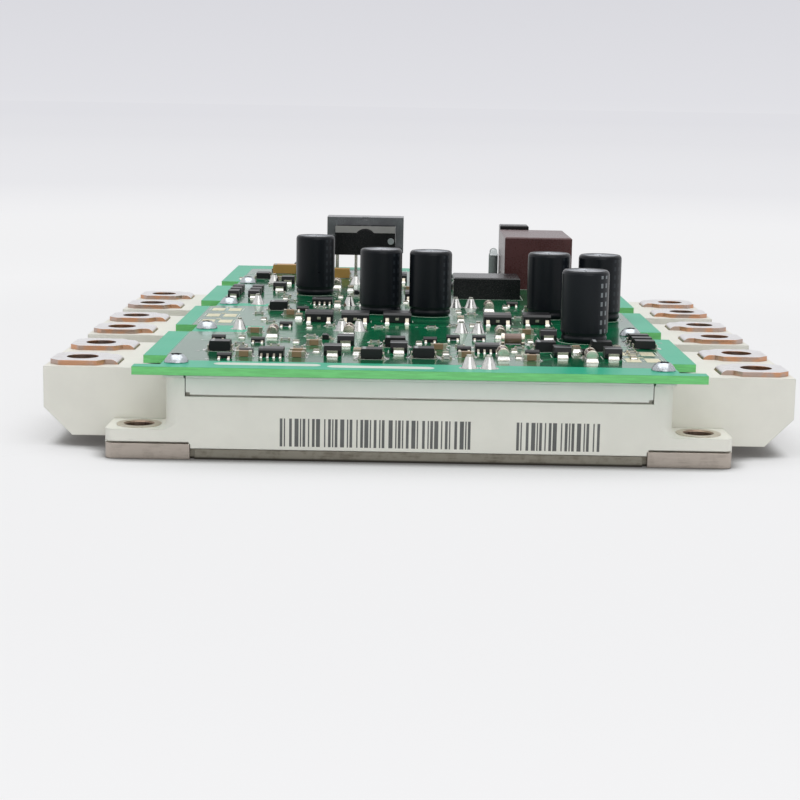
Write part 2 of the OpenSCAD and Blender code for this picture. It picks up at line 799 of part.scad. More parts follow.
module bond_ribbons() {
    color("#c9ccd0")
    for (p = phases, k = [-2.5:1:2.5])
        translate([k * chip_pitch, p * phase_pitch, 0])
            ribbon();
}

module thermistor() {
    color("#3a3f3a")
        translate([dcb_w / 2 - copper_edge - 3, -dcb_l / 2 + copper_edge + 1.6, chip_z])
            slab(chip_l, chip_w, 0.8);
}

// soft filling around the chips, one pool in each bay
module gel_filling() {
    color("#dfe6ea")
    difference() {
        for (p = phases) {
            low = p * phase_pitch - (p < 0 ? plate_y - phase_pitch - wall : bay_l / 2);
            high = p * phase_pitch + (p > 0 ? plate_y - phase_pitch - wall : bay_l / 2);
            span([-cavity_x, low, plate_t], [cavity_x, high, plate_t + gel_h]);
        }
        for (i = [1:3])
            at_phase(i)
                substrate();
        igbt_chips();
        diode_chips();
        bond_ribbons();
        thermistor();
        for (i = [1:6]) {
            terminal_left(i);
            terminal_right(i);
        }
    }
}

module signal_pins() {
    color("#d2d0cb")
    at_pins()
        translate([0, 0, deck - lid_face - pin_root])
            cylinder(h = top_z + pin_rise - deck + lid_face + pin_root, d = pin_d);
}

// Driver board

module board_plate() {
    span([-board_w / 2, front_y, board_z], [board_w / 2, rear_y, top_z]);
    span([-board_w / 2, front_y, board_z], [tongue_x, tongue_y, top_z]);
}

// holes for the two wires of a leaded part
module wire_holes(places, pitch, turn = 0) {
    for (p = places, s = sides)
        translate([p[0], p[1], board_z - 1])
            rotate([0, 0, turn])
                translate([s * pitch / 2, 0, 0])
                    cylinder(h = board_t + 2, d = wire_d + 2 * hole_gap);
}

module driver_board() {
    color("#1f8a5a")
    difference() {
        board_plate();
        for (s = sides, k = screw_rows)
            translate([s * (body_x + notch_gap + plate_x), k * phase_pitch, board_z - 1])
                slab(2 * plate_x, notch_w, board_t + 2);
        at_board_screws()
            translate([0, 0, board_z - 1])
                cylinder(h = board_t + 2, d = screw_d + 2 * hole_gap);
        at_pins()
            translate([0, 0, board_z - 1])
                cylinder(h = board_t + 2, d = pin_d + 2 * hole_gap);
        wire_holes(laid(cans), can_pitch);
        wire_holes([film_at], film_pitch, 90);
        wire_holes([rear_at], can_pitch);
        wire_holes([lamp_at], lamp_pitch);
        at_core_pins()
            translate([0, 0, board_z - 1])
                cylinder(h = board_t + 2, d = wire_d + 2 * hole_gap);
        at_contacts()
            translate([0, 0, board_z - 1])
                cylinder(h = board_t + 2, d = wire_d + 2 * hole_gap);
    }
}

// round-headed screw with a thin rim and a six-sided socket
module board_screws() {
    dome = screw_head_h - screw_rim;
    r = (pow(screw_head_d / 2, 2) + pow(dome, 2)) / (2 * dome);
    color("#dcdcdc")
    at_board_screws()
        difference() {
            union() {
                intersection() {
                    translate([0, 0, top_z + screw_head_h - r])
                        sphere(r = r);
                    translate([0, 0, top_z])
                        cylinder(h = screw_head_h, d = screw_head_d);
                }
                translate([0, 0, top_z])
                    cylinder(h = screw_rim, d = screw_head_d);
                translate([0, 0, top_z - screw_l])
                    cylinder(h = screw_l, d = screw_d);
            }
            translate([0, 0, top_z + 0.5])
                cylinder(h = screw_head_h, d = socket_af / cos(30), $fn = 6);
        }
}

module solder_cones() {
    color("#e6e6e4")
    at_pins()
        translate([0, 0, top_z])
            difference() {
                cylinder(h = cone_h, d1 = cone_d, d2 = pin_d + 0.3);
                translate([0, 0, -1])
                    cylinder(h = cone_h + 2, d = pin_d);
            }
}

// two wire ends of a leaded part
module wires(pitch, turn = 0) {
    rotate([0, 0, turn])
        for (s = sides)
            translate([s * pitch / 2, 0, -board_t - wire_end])
                cylinder(h = board_t + wire_end, d = wire_d);
}

// sleeved can with a crimp groove and a scored lid
module round_can() {
    r = can_d / 2;
    color("#1d1f22") {
        difference() {
            rotate_extrude()
                polygon([
                    [0, 0], [r - 0.9, 0], [r - 0.4, 0.2], [r - 0.15, 0.7], [r - 0.15, 1],
                    [r - can_crimp, 1.4], [r - can_crimp, 1.7], [r, 2.2], [r, can_h - 0.8], [r - 0.15, can_h - 0.3],
                    [r - 0.5, can_h], [r - 0.9, can_h - 0.05], [r - 1, can_h - 0.35], [0, can_h - 0.35]]);
            for (turn = [0, 90])
                rotate([0, 0, turn])
                    slab(can_d * 0.6, 0.3, 1, can_h - 0.5);
        }
        wires(can_pitch);
    }
}

module capacitor(i) {
    on_board(laid([cans[i - 1]]))
        round_can();
}

// moulded box with sloped upper edges
module moulded_box(w, l, h, cut = box_edge) {
    intersection() {
        bar_y([
            [-w / 2, 0], [w / 2, 0], [w / 2, h - cut], [w / 2 - cut, h], [cut - w / 2, h],
            [-w / 2, h - cut]], l);
        rotate([0, 0, 90])
            bar_y([
                [-l / 2, 0], [l / 2, 0], [l / 2, h - cut], [l / 2 - cut, h], [cut - l / 2, h],
                [-l / 2, h - cut]], w);
    }
}

module film_capacitor() {
    color("#5a2622")
    on_board([film_at]) {
        moulded_box(film_w, film_l, film_h);
        wires(film_pitch, 90);
    }
}

module rear_capacitor() {
    color("#24272a")
    on_board([rear_at]) {
        moulded_box(rear_w, rear_l, rear_h);
        wires(can_pitch);
    }
}

module coupler_block() {
    color("#15171a")
    on_board([coupler_at])
        moulded_box(coupler_w, coupler_l, coupler_h);
}

module indicator_spacer() {
    color("#8b9194")
    on_board([lamp_at])
        difference() {
            cylinder(h = spacer_h, d = lens_d + 2 * lens_rim);
            for (s = sides)
                translate([s * lamp_pitch / 2, 0, -1])
                    cylinder(h = spacer_h + 2, d = wire_d);
        }
}

module indicator_lens() {
    color("#e4e8ea")
    on_board([lamp_at]) {
        translate([0, 0, spacer_h]) {
            cylinder(h = lens_h / 2, d = lens_d + 2 * lens_rim);
            cylinder(h = lens_h, d = lens_d);
            translate([0, 0, lens_h])
                intersection() {
                    sphere(d = lens_d);
                    cylinder(h = lens_d, d = lens_d);
                }
        }
        for (s = sides)
            translate([s * lamp_pitch / 2, 0, -board_t - wire_end])
                cylinder(h = board_t + wire_end + spacer_h, d = wire_d);
    }
}

// Transformer

module at_core_pins() {
    for (s = sides, k = [-1.5:1:1.5])
        translate([core_at[0] + k * (core_w - 3) / 3.5, core_at[1] + s * (core_l / 2 - 1), 0])
            children();
}

// one half of the core: a bar with a leg at each end, the halves meet at mid height
module core_half() {
    leg = core_h / 2 - core_bar;
    slab(core_w, core_l - 2 * flange_t - 2 * core_gap, core_bar);
    for (s = sides)
        translate([s * (core_w - core_bar) / 2, 0, 0])
            slab(core_bar, core_l - 2 * flange_t - 2 * core_gap, core_bar + leg);
}

module core_upper() {
    color("#3c4043")
    translate([core_at[0], core_at[1], core_z])
        difference() {
            translate([0, 0, core_h])
                mirror([0, 0, 1])
                    core_half();
            translate([0, flange_t + core_gap - core_l / 2, core_h - core_slot_d])
                slab(core_slot, 2 * core_gap, 2 * core_slot_d);
        }
}

module core_lower() {
    color("#3c4043")
    translate([core_at[0], core_at[1], core_z])
        core_half();
}

// tube with two flanges that carry the pins
module transformer_bobbin() {
    mid = core_h / 2;
    inner_w = core_w - 2 * core_bar - 0.2;
    color("#202426")
    translate([core_at[0], core_at[1], core_z])
        difference() {
            union() {
                for (s = sides)
                    translate([0, s * (core_l - flange_t) / 2, core_bar])
                        slab(inner_w, flange_t, core_h - 2 * core_bar);
                for (s = sides)
                    translate([0, s * (core_l / 2 - 1), -0.6])
                        slab(core_w - 1, 2, core_bar - 0.2);
                for (s = sides)
                    translate([0, s * (core_l - flange_t) / 2, -0.6])
                        slab(inner_w, flange_t, core_bar + 1);
                translate([0, -core_l / 2, mid])
                    rotate([-90, 0, 0])
                        cylinder(h = core_l, d = tube_d);
            }
            translate([0, -core_l / 2 - 1, mid])
                rotate([-90, 0, 0])
                    cylinder(h = core_l + 2, d = tube_d - 2 * tube_wall);
        }
}

// rod that fills the tube of the bobbin
module core_rod() {
    color("#3c4043")
    translate([core_at[0], core_at[1] - core_l / 2 + rod_back, core_z + core_h / 2])
        rotate([-90, 0, 0])
            cylinder(h = core_l - 2 * rod_back, d = tube_d - 2 * tube_wall);
}

module transformer_winding() {
    color("#23201d")
    translate([core_at[0], core_at[1] - core_l / 2 + flange_t, core_z + core_h / 2])
        rotate([-90, 0, 0])
            difference() {
                cylinder(h = core_l - 2 * flange_t, d = winding_d);
                translate([0, 0, -1])
                    cylinder(h = core_l, d = tube_d);
            }
}

module transformer_pins() {
    color("#d5d5d2")
    at_core_pins()
        translate([0, 0, board_z - wire_end])
            cylinder(h = core_z - 0.6 - board_z + wire_end, d = wire_d);
}

// Signal header

module at_contacts() {
    for (k = [0:header_rows - 1], s = sides)
        translate([
            header_at[0] + (k - (header_rows - 1) / 2) * header_pitch,
            header_at[1] + s * header_pitch / 2, 0])
            children();
}

module signal_header() {
    color("#17191b")
    difference() {
        translate([header_at[0], header_at[1], top_z])
            moulded_box(header_w, header_l, header_base);
        at_contacts()
            cylinder(h = top_z + header_h, d = wire_d);
    }
}

module header_contacts() {
    color("#d8c48a")
    at_contacts()
        translate([0, 0, board_z - wire_end])
            cylinder(h = board_t + wire_end + header_h, d = wire_d);
}

// Small parts

// body with bent side leads, drawn with its leads towards -Y and +Y
module gull_part(l, w, h, count, pitch, lead_w) {
    reach = w / 2 + 1;
    difference() {
        slab(l, w, h - 0.15, 0.15);
        translate([0, -w / 2, h])
            rotate([45, 0, 0])
                cube([l + 1, 0.5, 0.5], center = true);
    }
    for (s = sides, k = [0:count - 1])
        translate([(k - (count - 1) / 2) * pitch, 0, 0])
            mirror([0, s < 0 ? 1 : 0, 0])
                rotate([90, 0, 90])
                    linear_extrude(height = lead_w, center = true)
                        polygon([
                            [w / 2 - 0.2, h * 0.45], [w / 2 + 0.45, h * 0.45], [w / 2 + 0.55, 0.2],
                            [reach + 0.1, 0.2], [reach + 0.1, 0], [w / 2 + 0.35, 0],
                            [w / 2 + 0.25, h * 0.33], [w / 2 - 0.2, h * 0.33]]);
}

module driver_ics() {
    color("#2c2e31")
    on_board(laid(ics))
        gull_part(ic_l, ic_w, ic_h, 4, 1.27, 0.42);
}

module small_transistors() {
    color("#26282b")
    on_board(laid(sots))
        gull_part(sot_l, 1.4, sot_h, 2, 1.9, 0.45);
}

// body on a metal back with two legs and a cut middle lead
module power_transistors() {
    front = -dpak_w / 2;
    color("#1b1d20")
    on_board(laid(dpaks)) {
        difference() {
            slab(dpak_w, dpak_w - 0.4, dpak_h - 0.1, 0.1);
            translate([0, front + 0.2, dpak_h])
                rotate([45, 0, 0])
                    cube([dpak_w + 1, 0.7, 0.7], center = true);
        }
        translate([0, dpak_w / 2, 0])
            slab(dpak_w - 1.2, 2, 0.55);
        slab(dpak_w - 1.2, dpak_w - 1.4, 0.3);
        for (s = sides)
            translate([s * 2.29, front, 0])
                rotate([90, 0, 90])
                    linear_extrude(height = 0.8, center = true)
                        polygon([
                            [0.4, 1.2], [-0.7, 1.2], [-1, 0.5], [-2, 0.5], [-2, 0], [-0.7, 0], [-0.4, 0.7],
                            [0.4, 0.7]]);
        span([-0.4, front - 0.5, 0.7], [0.4, front + 0.4, 1.2]);
    }
}

// moulded body with wrapped end contacts
module wrapped_part(l, w, h) {
    rotate([90, 0, 0])
        linear_extrude(height = w, center = true)
            polygon([
                [-l / 2 + 0.2, 0.15], [l / 2 - 0.2, 0.15], [l / 2, h * 0.5], [l / 2 - 0.2, h],
                [0.2 - l / 2, h], [-l / 2, h * 0.5]]);
    for (s = sides)
        mirror([s < 0 ? 1 : 0, 0, 0]) {
            slab_w = w * 0.62;
            span([l / 2 - 1.2, -slab_w / 2, 0], [l / 2 + 0.3, slab_w / 2, 0.2]);
            span([l / 2 + 0.1, -slab_w / 2, 0], [l / 2 + 0.3, slab_w / 2, h * 0.5 + 0.1]);
            span([l / 2 - 0.3, -slab_w / 2, h * 0.5 - 0.1], [l / 2 + 0.3, slab_w / 2, h * 0.5 + 0.1]);
        }
}

module moulded_diodes() {
    color("#1a1c1f")
    on_board(laid(diodes))
        wrapped_part(smb_l, smb_w, smb_h);
}

module gate_resistors() {
    color("#1e2022")
    on_board(laid(gates))
        wrapped_part(smb_l, smb_w - 0.7, smb_h - 0.3);
}

module tantalum_capacitors() {
    color("#b8842c")
    on_board(laid(tants))
        wrapped_part(tant_l, 4.2, tant_h);
}

// glass body between two metal caps
module glass_diodes() {
    color("#c8b8a8")
    on_board(laid(glass))
        translate([0, 0, melf_d / 2])
            rotate([0, 90, 0]) {
                cylinder(h = melf_l - 1, d = melf_d - 0.2, center = true);
                for (s = sides)
                    translate([0, 0, s * (melf_l / 2 - 0.35)])
                        cylinder(h = 0.7, d = melf_d, center = true);
            }
}

// rectangular chip with metal ends a little larger than its body
module chip(l, w, h) {
    cap = l * 0.2;
    slab(l - 2 * cap, w - 0.1, h - 0.1, 0.05);
    for (s = sides)
        translate([s * (l - cap) / 2, 0, 0])
            slab(cap, w, h);
}

module chip_resistors() {
    color("#202226")
    on_board(laid(resistors))
        chip(res_l, res_w, res_h);
}

module chip_capacitors() {
    color("#b99a78")
    on_board(laid(caps))
        chip(chip_l, chip_w, chip_h);
}

base_plate();
mounting_bushes();
housing_frame();
terminal_blocks(-1);  // terminal_blocks_left
terminal_blocks(1);  // terminal_blocks_right
lid();
at_phase(1) substrate();  // substrate_1
at_phase(2) substrate();  // substrate_2
at_phase(3) substrate();  // substrate_3
igbt_chips();
diode_chips();
bond_ribbons();
thermistor();
gel_filling();
signal_pins();
terminal_left(1);  // terminal_left_1
terminal_left(2);  // terminal_left_2
terminal_left(3);  // terminal_left_3
terminal_left(4);  // terminal_left_4
terminal_left(5);  // terminal_left_5
terminal_left(6);  // terminal_left_6
terminal_right(1);  // terminal_right_1
terminal_right(2);  // terminal_right_2
terminal_right(3);  // terminal_right_3
terminal_right(4);  // terminal_right_4
terminal_right(5);  // terminal_right_5
terminal_right(6);  // terminal_right_6
terminal_nuts();
driver_board();
board_screws();
solder_cones();
capacitor(1);  // capacitor_1
capacitor(2);  // capacitor_2
capacitor(3);  // capacitor_3
capacitor(4);  // capacitor_4
capacitor(5);  // capacitor_5
capacitor(6);  // capacitor_6
film_capacitor();
rear_capacitor();
coupler_block();
indicator_spacer();
indicator_lens();
core_upper();
core_lower();
core_rod();
transformer_bobbin();
transformer_winding();
transformer_pins();
signal_header();
header_contacts();
driver_ics();
power_transistors();
small_transistors();
moulded_diodes();
glass_diodes();
gate_resistors();
chip_resistors();
chip_capacitors();
tantalum_capacitors();
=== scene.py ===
import functools
import itertools
import logging
import math
import random
from collections.abc import Iterable, Sequence
from dataclasses import dataclass, field
from enum import Enum

import bpy
from mathutils import Matrix, Vector


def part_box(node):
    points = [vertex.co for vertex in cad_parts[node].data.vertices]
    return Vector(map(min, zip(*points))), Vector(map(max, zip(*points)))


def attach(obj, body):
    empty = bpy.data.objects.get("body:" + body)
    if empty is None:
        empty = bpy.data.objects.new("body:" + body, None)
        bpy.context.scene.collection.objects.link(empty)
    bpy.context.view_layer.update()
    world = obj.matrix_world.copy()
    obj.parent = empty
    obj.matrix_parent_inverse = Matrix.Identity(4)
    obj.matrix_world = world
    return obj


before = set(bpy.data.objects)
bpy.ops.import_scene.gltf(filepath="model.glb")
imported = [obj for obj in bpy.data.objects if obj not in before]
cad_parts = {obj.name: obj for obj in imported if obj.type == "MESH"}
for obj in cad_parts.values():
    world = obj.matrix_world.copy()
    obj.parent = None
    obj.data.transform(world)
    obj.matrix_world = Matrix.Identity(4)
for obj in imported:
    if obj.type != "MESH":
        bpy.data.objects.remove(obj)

LOG = logging.getLogger("power_module")
MM = 0.001
BODY = "root"
EVEN = (1.0, 1.0, 1.0)
CANS = range(1, 7)

# Shader settings that all finishes share.
NOISE_FADE = 0.6
SHUT_SAMPLES = 8
EDGE_SAMPLES = 4
LEVEL_SPAN = (0.75, 0.45)

# Thickness of the thin layers on the board in millimetres.
# Dashes and round ends are thinner than the strips and outlines that they can touch.
PAD_T = 0.035
PRINT_T = 0.03
VIA_T = 0.03
COLLAR_T = 0.028
DASH_T = 0.028
ROUND_T = 0.026

Colour = tuple[float, float, float]
Flat = tuple[float, float]
Point = tuple[float, float, float]
Stops = tuple[tuple[float, Colour], ...]


def tone(red: int, green: int, blue: int) -> Colour:
    """Turn a screen colour into shader values.

    Args:
        red: Red from 0 to 255.
        green: Green from 0 to 255.
        blue: Blue from 0 to 255.

    Returns:
        The three linear values.
    """
    def linear(value: int) -> float:
        """Undo the screen curve for one value."""
        share = value / 255
        return share / 12.92 if share <= 0.04045 else ((share + 0.055) / 1.055) ** 2.4

    return linear(red), linear(green), linear(blue)


def shade(colour: Colour, gain: float) -> Colour:
    """Make a colour lighter or darker by one factor."""
    return tuple(min(1.0, value * gain) for value in colour)


class Axis(Enum):
    """Direction in which a surface was worked."""

    X = (0.05, 1.0, 1.0)
    Y = (1.0, 0.05, 1.0)
    Z = (1.0, 1.0, 0.05)
    NONE = (1.0, 1.0, 1.0)


class Sock:
    """A shader value that takes part in Python sums."""

    def __init__(self, paint: "Paint", socket: bpy.types.NodeSocket) -> None:
        """Keep the socket and the paint in whose tree it lies."""
        self.paint = paint
        self.socket = socket

    def _math(self, operation: str, first: "Sock | float", second: "Sock | float" = 0.0) -> "Sock":
        """Add one Math node.

        Args:
            operation: Name of the operation.
            first: Left hand value.
            second: Right hand value.

        Returns:
            The result of the node.
        """
        return self.paint.add("ShaderNodeMath", {"operation": operation}, {0: first, 1: second})

    def __add__(self, other: "Sock | float") -> "Sock":
        """Add a value."""
        return self._math("ADD", self, other)

    __radd__ = __add__

    def __sub__(self, other: "Sock | float") -> "Sock":
        """Take a value away."""
        return self._math("SUBTRACT", self, other)

    def __rsub__(self, other: "Sock | float") -> "Sock":
        """Take this value from another."""
        return self._math("SUBTRACT", other, self)

    def __mul__(self, other: "Sock | float") -> "Sock":
        """Multiply by a value."""
        return self._math("MULTIPLY", self, other)

    __rmul__ = __mul__

    def __truediv__(self, other: "Sock | float") -> "Sock":
        """Divide by a value."""
        return self._math("DIVIDE", self, other)

    def __rtruediv__(self, other: "Sock | float") -> "Sock":
        """Divide another value by this one."""
        return self._math("DIVIDE", other, self)

    def __gt__(self, other: "Sock | float") -> "Sock":
        """Give 1 where this value is larger, else 0."""
        return self._math("GREATER_THAN", self, other)

    def __lt__(self, other: "Sock | float") -> "Sock":
        """Give 1 where this value is smaller, else 0."""
        return self._math("LESS_THAN", self, other)

    def __abs__(self) -> "Sock":
        """Drop the sign."""
        return self._math("ABSOLUTE", self)

    def root(self) -> "Sock":
        """Take the square root."""
        return self._math("SQRT", self)

    def part(self) -> "Sock":
        """Keep what stands behind the point."""
        return self._math("FRACT", self)

    def angle(self, across: "Sock") -> "Sock":
        """Give the angle of this value over another."""
        return self._math("ARCTAN2", self, across)

    def peak(self, other: "Sock | float") -> "Sock":
        """Keep the larger of two values."""
        return self._math("MAXIMUM", self, other)

    def swing(self, amount: float) -> "Sock":
        """Let noise swing about zero by an amount."""
        return (self - 0.5) * amount


class Paint:
    """Adds nodes to one tree."""

    def __init__(self, tree: bpy.types.NodeTree) -> None:
        """Empty a tree and keep it.

        Args:
            tree: Tree of a material or of the world.
        """
        self.tree = tree
        self.tree.nodes.clear()
        self.kept: dict[str, Sock] = {}

    def join(self, socket: bpy.types.NodeSocket, value: "Sock | float | Sequence[float]") -> None:
        """Link a value to a socket, or set it there.

        Args:
            socket: The input.
            value: A shader value, a number, or the numbers of a colour or vector.
        """
        if isinstance(value, Sock):
            self.tree.links.new(value.socket, socket)
        elif isinstance(value, (int, float)):
            socket.default_value = value
        else:
            wide = len(socket.default_value)
            socket.default_value = (*value, 1.0)[:wide] if len(value) < wide else value

    def node(self, kind: str, settings: dict | None = None, values: dict | None = None) -> bpy.types.Node:
        """Add a node of any type.

        Args:
            kind: Type of the node.
            settings: Properties set first; "stops" gives the places and colours of a ramp.
            values: Values or links by name or number of the input.

        Returns:
            The node.
        """
        node = self.tree.nodes.new(kind)
        for key, value in (settings or {}).items():
            if key == "stops":
                ramp = node.color_ramp
                while len(ramp.elements) < len(value):
                    ramp.elements.new(0.5)
                for element, (place, colour) in zip(ramp.elements, value):
                    element.position = place
                    element.color = (*colour, 1.0)
            else:
                setattr(node, key, value)
        for key, value in (values or {}).items():
            self.join(node.inputs[key], value)
        return node

    def add(self, kind: str, settings: dict | None = None, values: dict | None = None,
            out: int | str = 0) -> Sock:
        """Add a node of any type and give one of its outputs.

        Args:
            kind: Type of the node.
            settings: Properties set first.
            values: Values or links by name or number of the input.
            out: Name or number of the output.

        Returns:
            The chosen output.
        """
        return Sock(self, self.node(kind, settings, values).outputs[out])

    def place(self, stretch: Sequence[float] = EVEN) -> Sock:
        """Give the place on the piece in metres.

        Args:
            stretch: Factor along each axis.

        Returns:
            The stretched place.
        """
        if "Object" not in self.kept:
            self.kept["Object"] = self.add("ShaderNodeTexCoord", out="Object")
        here = self.kept["Object"]
        if tuple(stretch) == EVEN:
            return here
        return self.add("ShaderNodeVectorMath", {"operation": "MULTIPLY"}, {0: here, 1: stretch})

    def along(self, axis: str, source: str = "Object") -> Sock:
        """Give one part of a coordinate.

        Args:
            axis: X, Y or Z.
            source: Output of the coordinate node.

        Returns:
            The value along that axis.
        """
        if source not in self.kept:
            self.kept[source] = self.add("ShaderNodeTexCoord", out=source)
        key = f"{source} {axis}"
        if key not in self.kept:
            self.kept[key] = self.add("ShaderNodeSeparateXYZ", values={0: self.kept[source]}, out=axis)
        return self.kept[key]

    def noise(self, size: float, stretch: Sequence[float] = EVEN, detail: float = 3.0) -> Sock:
        """Give cloudy noise.

        Args:
            size: Size of a cloud in millimetres.
            stretch: Factor along each axis.
            detail: Number of finer layers.

        Returns:
            A value round 0.5.
        """
        return self.add("ShaderNodeTexNoise", values={
            "Vector": self.place(stretch), "Scale": 1 / (size * MM), "Detail": detail,
            "Roughness": NOISE_FADE})

    def patches(self, size: float) -> Sock:
        """Give square patches, each with a value of its own.

        Args:
            size: Size of a patch in millimetres.

        Returns:
            The value from 0 to 1.
        """
        colours = self.add("ShaderNodeTexVoronoi", {"distance": "CHEBYCHEV"}, {
            "Vector": self.place(), "Scale": 1 / (size * MM)}, "Color")
        return self.add("ShaderNodeSeparateColor", values={0: colours})

    def ramp(self, value: Sock, low: float, high: float) -> Sock:
        """Map a value smoothly to 0 below low and 1 above high."""
        return self.add("ShaderNodeMapRange", {"interpolation_type": "SMOOTHSTEP"},
                        {0: value, 1: low, 2: high})

    def blend(self, share: Sock, first: "Sock | Colour", second: "Sock | Colour") -> Sock:
        """Mix two colours by a share."""
        return self.add("ShaderNodeMix", {"data_type": "RGBA"}, {0: share, 6: first, 7: second}, 2)

    def inside(self, low: Flat, high: Flat, soft: float) -> Sock:
        """Give 1 inside a rectangle in plan and 0 outside it.

        Args:
            low: Low corner in millimetres.
            high: High corner in millimetres.
            soft: Width of the soft rim in millimetres.

        Returns:
            The share.
        """
        gaps = [abs(self.along(axis) - (a + b) / 2 * MM) - (b - a) / 2 * MM
                for axis, a, b in zip("XY", low, high)]
        return self.ramp(gaps[0].peak(gaps[1]), soft * MM, 0.0)

    def upright(self) -> Sock:
        """Give 0 on level faces and 1 on upright ones."""
        return self.ramp(abs(self.along("Z", "Normal")), *LEVEL_SPAN)

    def shut(self, reach: float, free: float, deep: float) -> Sock:
        """Give 1 deep in holes and corners and 0 in the open.

        Args:
            reach: Distance in millimetres over which faces shut each other in.
            free: Share of open air from which the result is 0.
            deep: Share of open air below which the result is 1.

        Returns:
            The share.
        """
        settings, values = {"samples": SHUT_SAMPLES}, {"Distance": reach * MM}
        return self.ramp(self.add("ShaderNodeAmbientOcclusion", settings, values, "AO"), free, deep)

    def soft_edge(self, width: float) -> Sock:
        """Round the shading of the edges by a width in millimetres."""
        return self.add("ShaderNodeBevel", {"samples": EDGE_SAMPLES}, {"Radius": width * MM})

    def relief(self, height: Sock, depth: float, normal: Sock | None = None) -> Sock:
        """Turn a height into a bumped normal.

        Args:
            height: The height from 0 to 1.
            depth: Depth in millimetres.
            normal: Normal to start from.

        Returns:
            The bumped normal.
        """
        values = {"Strength": 1.0, "Distance": depth * MM, "Height": height}
        if normal is not None:
            values["Normal"] = normal
        return self.add("ShaderNodeBump", values=values)


class Skin(Paint):
    """Builds one material around a Principled shader."""

    def __init__(self, name: str) -> None:
        """Make the material with its shader and output.

        Args:
            name: Name of the material.
        """
        self.material = bpy.data.materials.new(name)
        self.material.use_nodes = True
        super().__init__(self.material.node_tree)
        self.shader = self.node("ShaderNodeBsdfPrincipled")
        lit = Sock(self, self.shader.outputs[0])
        self.output = self.node("ShaderNodeOutputMaterial", values={0: lit})

    def put(self, name: str, value: "Sock | float | Sequence[float]") -> None:
        """Feed one input of the shader."""
        self.join(self.shader.inputs[name], value)


@dataclass(frozen=True)
class Moulding:
    """Moulded plastic, epoxy, ceramic, lacquer, tape or print.

    Attributes:
        name: Name of the material.
        colour: Main colour.
        rough: Middle roughness.
        grain: Size of the surface grain in millimetres.
        depth: Depth of the grain in millimetres.
        mottle: Change of tone over the surface.
        edge: Rounding of the edges in millimetres.
        dust_and_shade: Colour of dust and painted shade that gather in corners, if any.
        top: Colour of the level faces, if it differs.
        sheen: Level of the mirror part.
        cloud: Size of the clouds of tone in millimetres.
        cloud_span: Noise over which the tone changes.
        corner: Reach of the dust and painted shade out of a corner in millimetres.
        corner_span: Share of open air over which the dust and painted shade get thick.
        dust_and_shade_span: Noise over which the dust and painted shade get thick.
        swing: Change of roughness with the grain and with the clouds.
    """

    name: str
    colour: Colour
    rough: float = 0.5
    grain: float = 0.3
    depth: float = 0.01
    mottle: float = 0.06
    edge: float = 0.1
    dust_and_shade: Colour | None = None
    top: Colour | None = None
    sheen: float = 0.5
    cloud: float = 7.0
    cloud_span: Flat = (0.3, 0.7)
    corner: float = 2.5
    corner_span: Flat = (0.75, 0.2)
    dust_and_shade_span: Flat = (0.2, 0.8)
    swing: Flat = (0.16, 0.1)

    def make(self) -> bpy.types.Material:
        """Build the material.

        Returns:
            The finished material.
        """
        p = Skin(self.name)
        cloud, grain = p.noise(self.cloud), p.noise(self.grain)
        dark, light = (shade(self.colour, 1 + change) for change in (-self.mottle, self.mottle))
        base = p.blend(p.ramp(cloud, *self.cloud_span), dark, light)
        if self.top is not None:
            base = p.blend(p.upright(), self.top, base)
        # Dust and painted shade: darker where the ambient occlusion finds faces close, in patches by the
        # clouds.
        if self.dust_and_shade is not None:
            dust_and_shade_share = p.shut(self.corner, *self.corner_span) * p.ramp(cloud, *self.dust_and_shade_span)
            base = p.blend(dust_and_shade_share, base, self.dust_and_shade)
        p.put("Base Color", base)
        p.put("Roughness", self.rough + grain.swing(self.swing[0]) + cloud.swing(self.swing[1]))
        p.put("Specular IOR Level", self.sheen)
        p.put("Normal", p.relief(grain, self.depth, p.soft_edge(self.edge)))
        return p.material


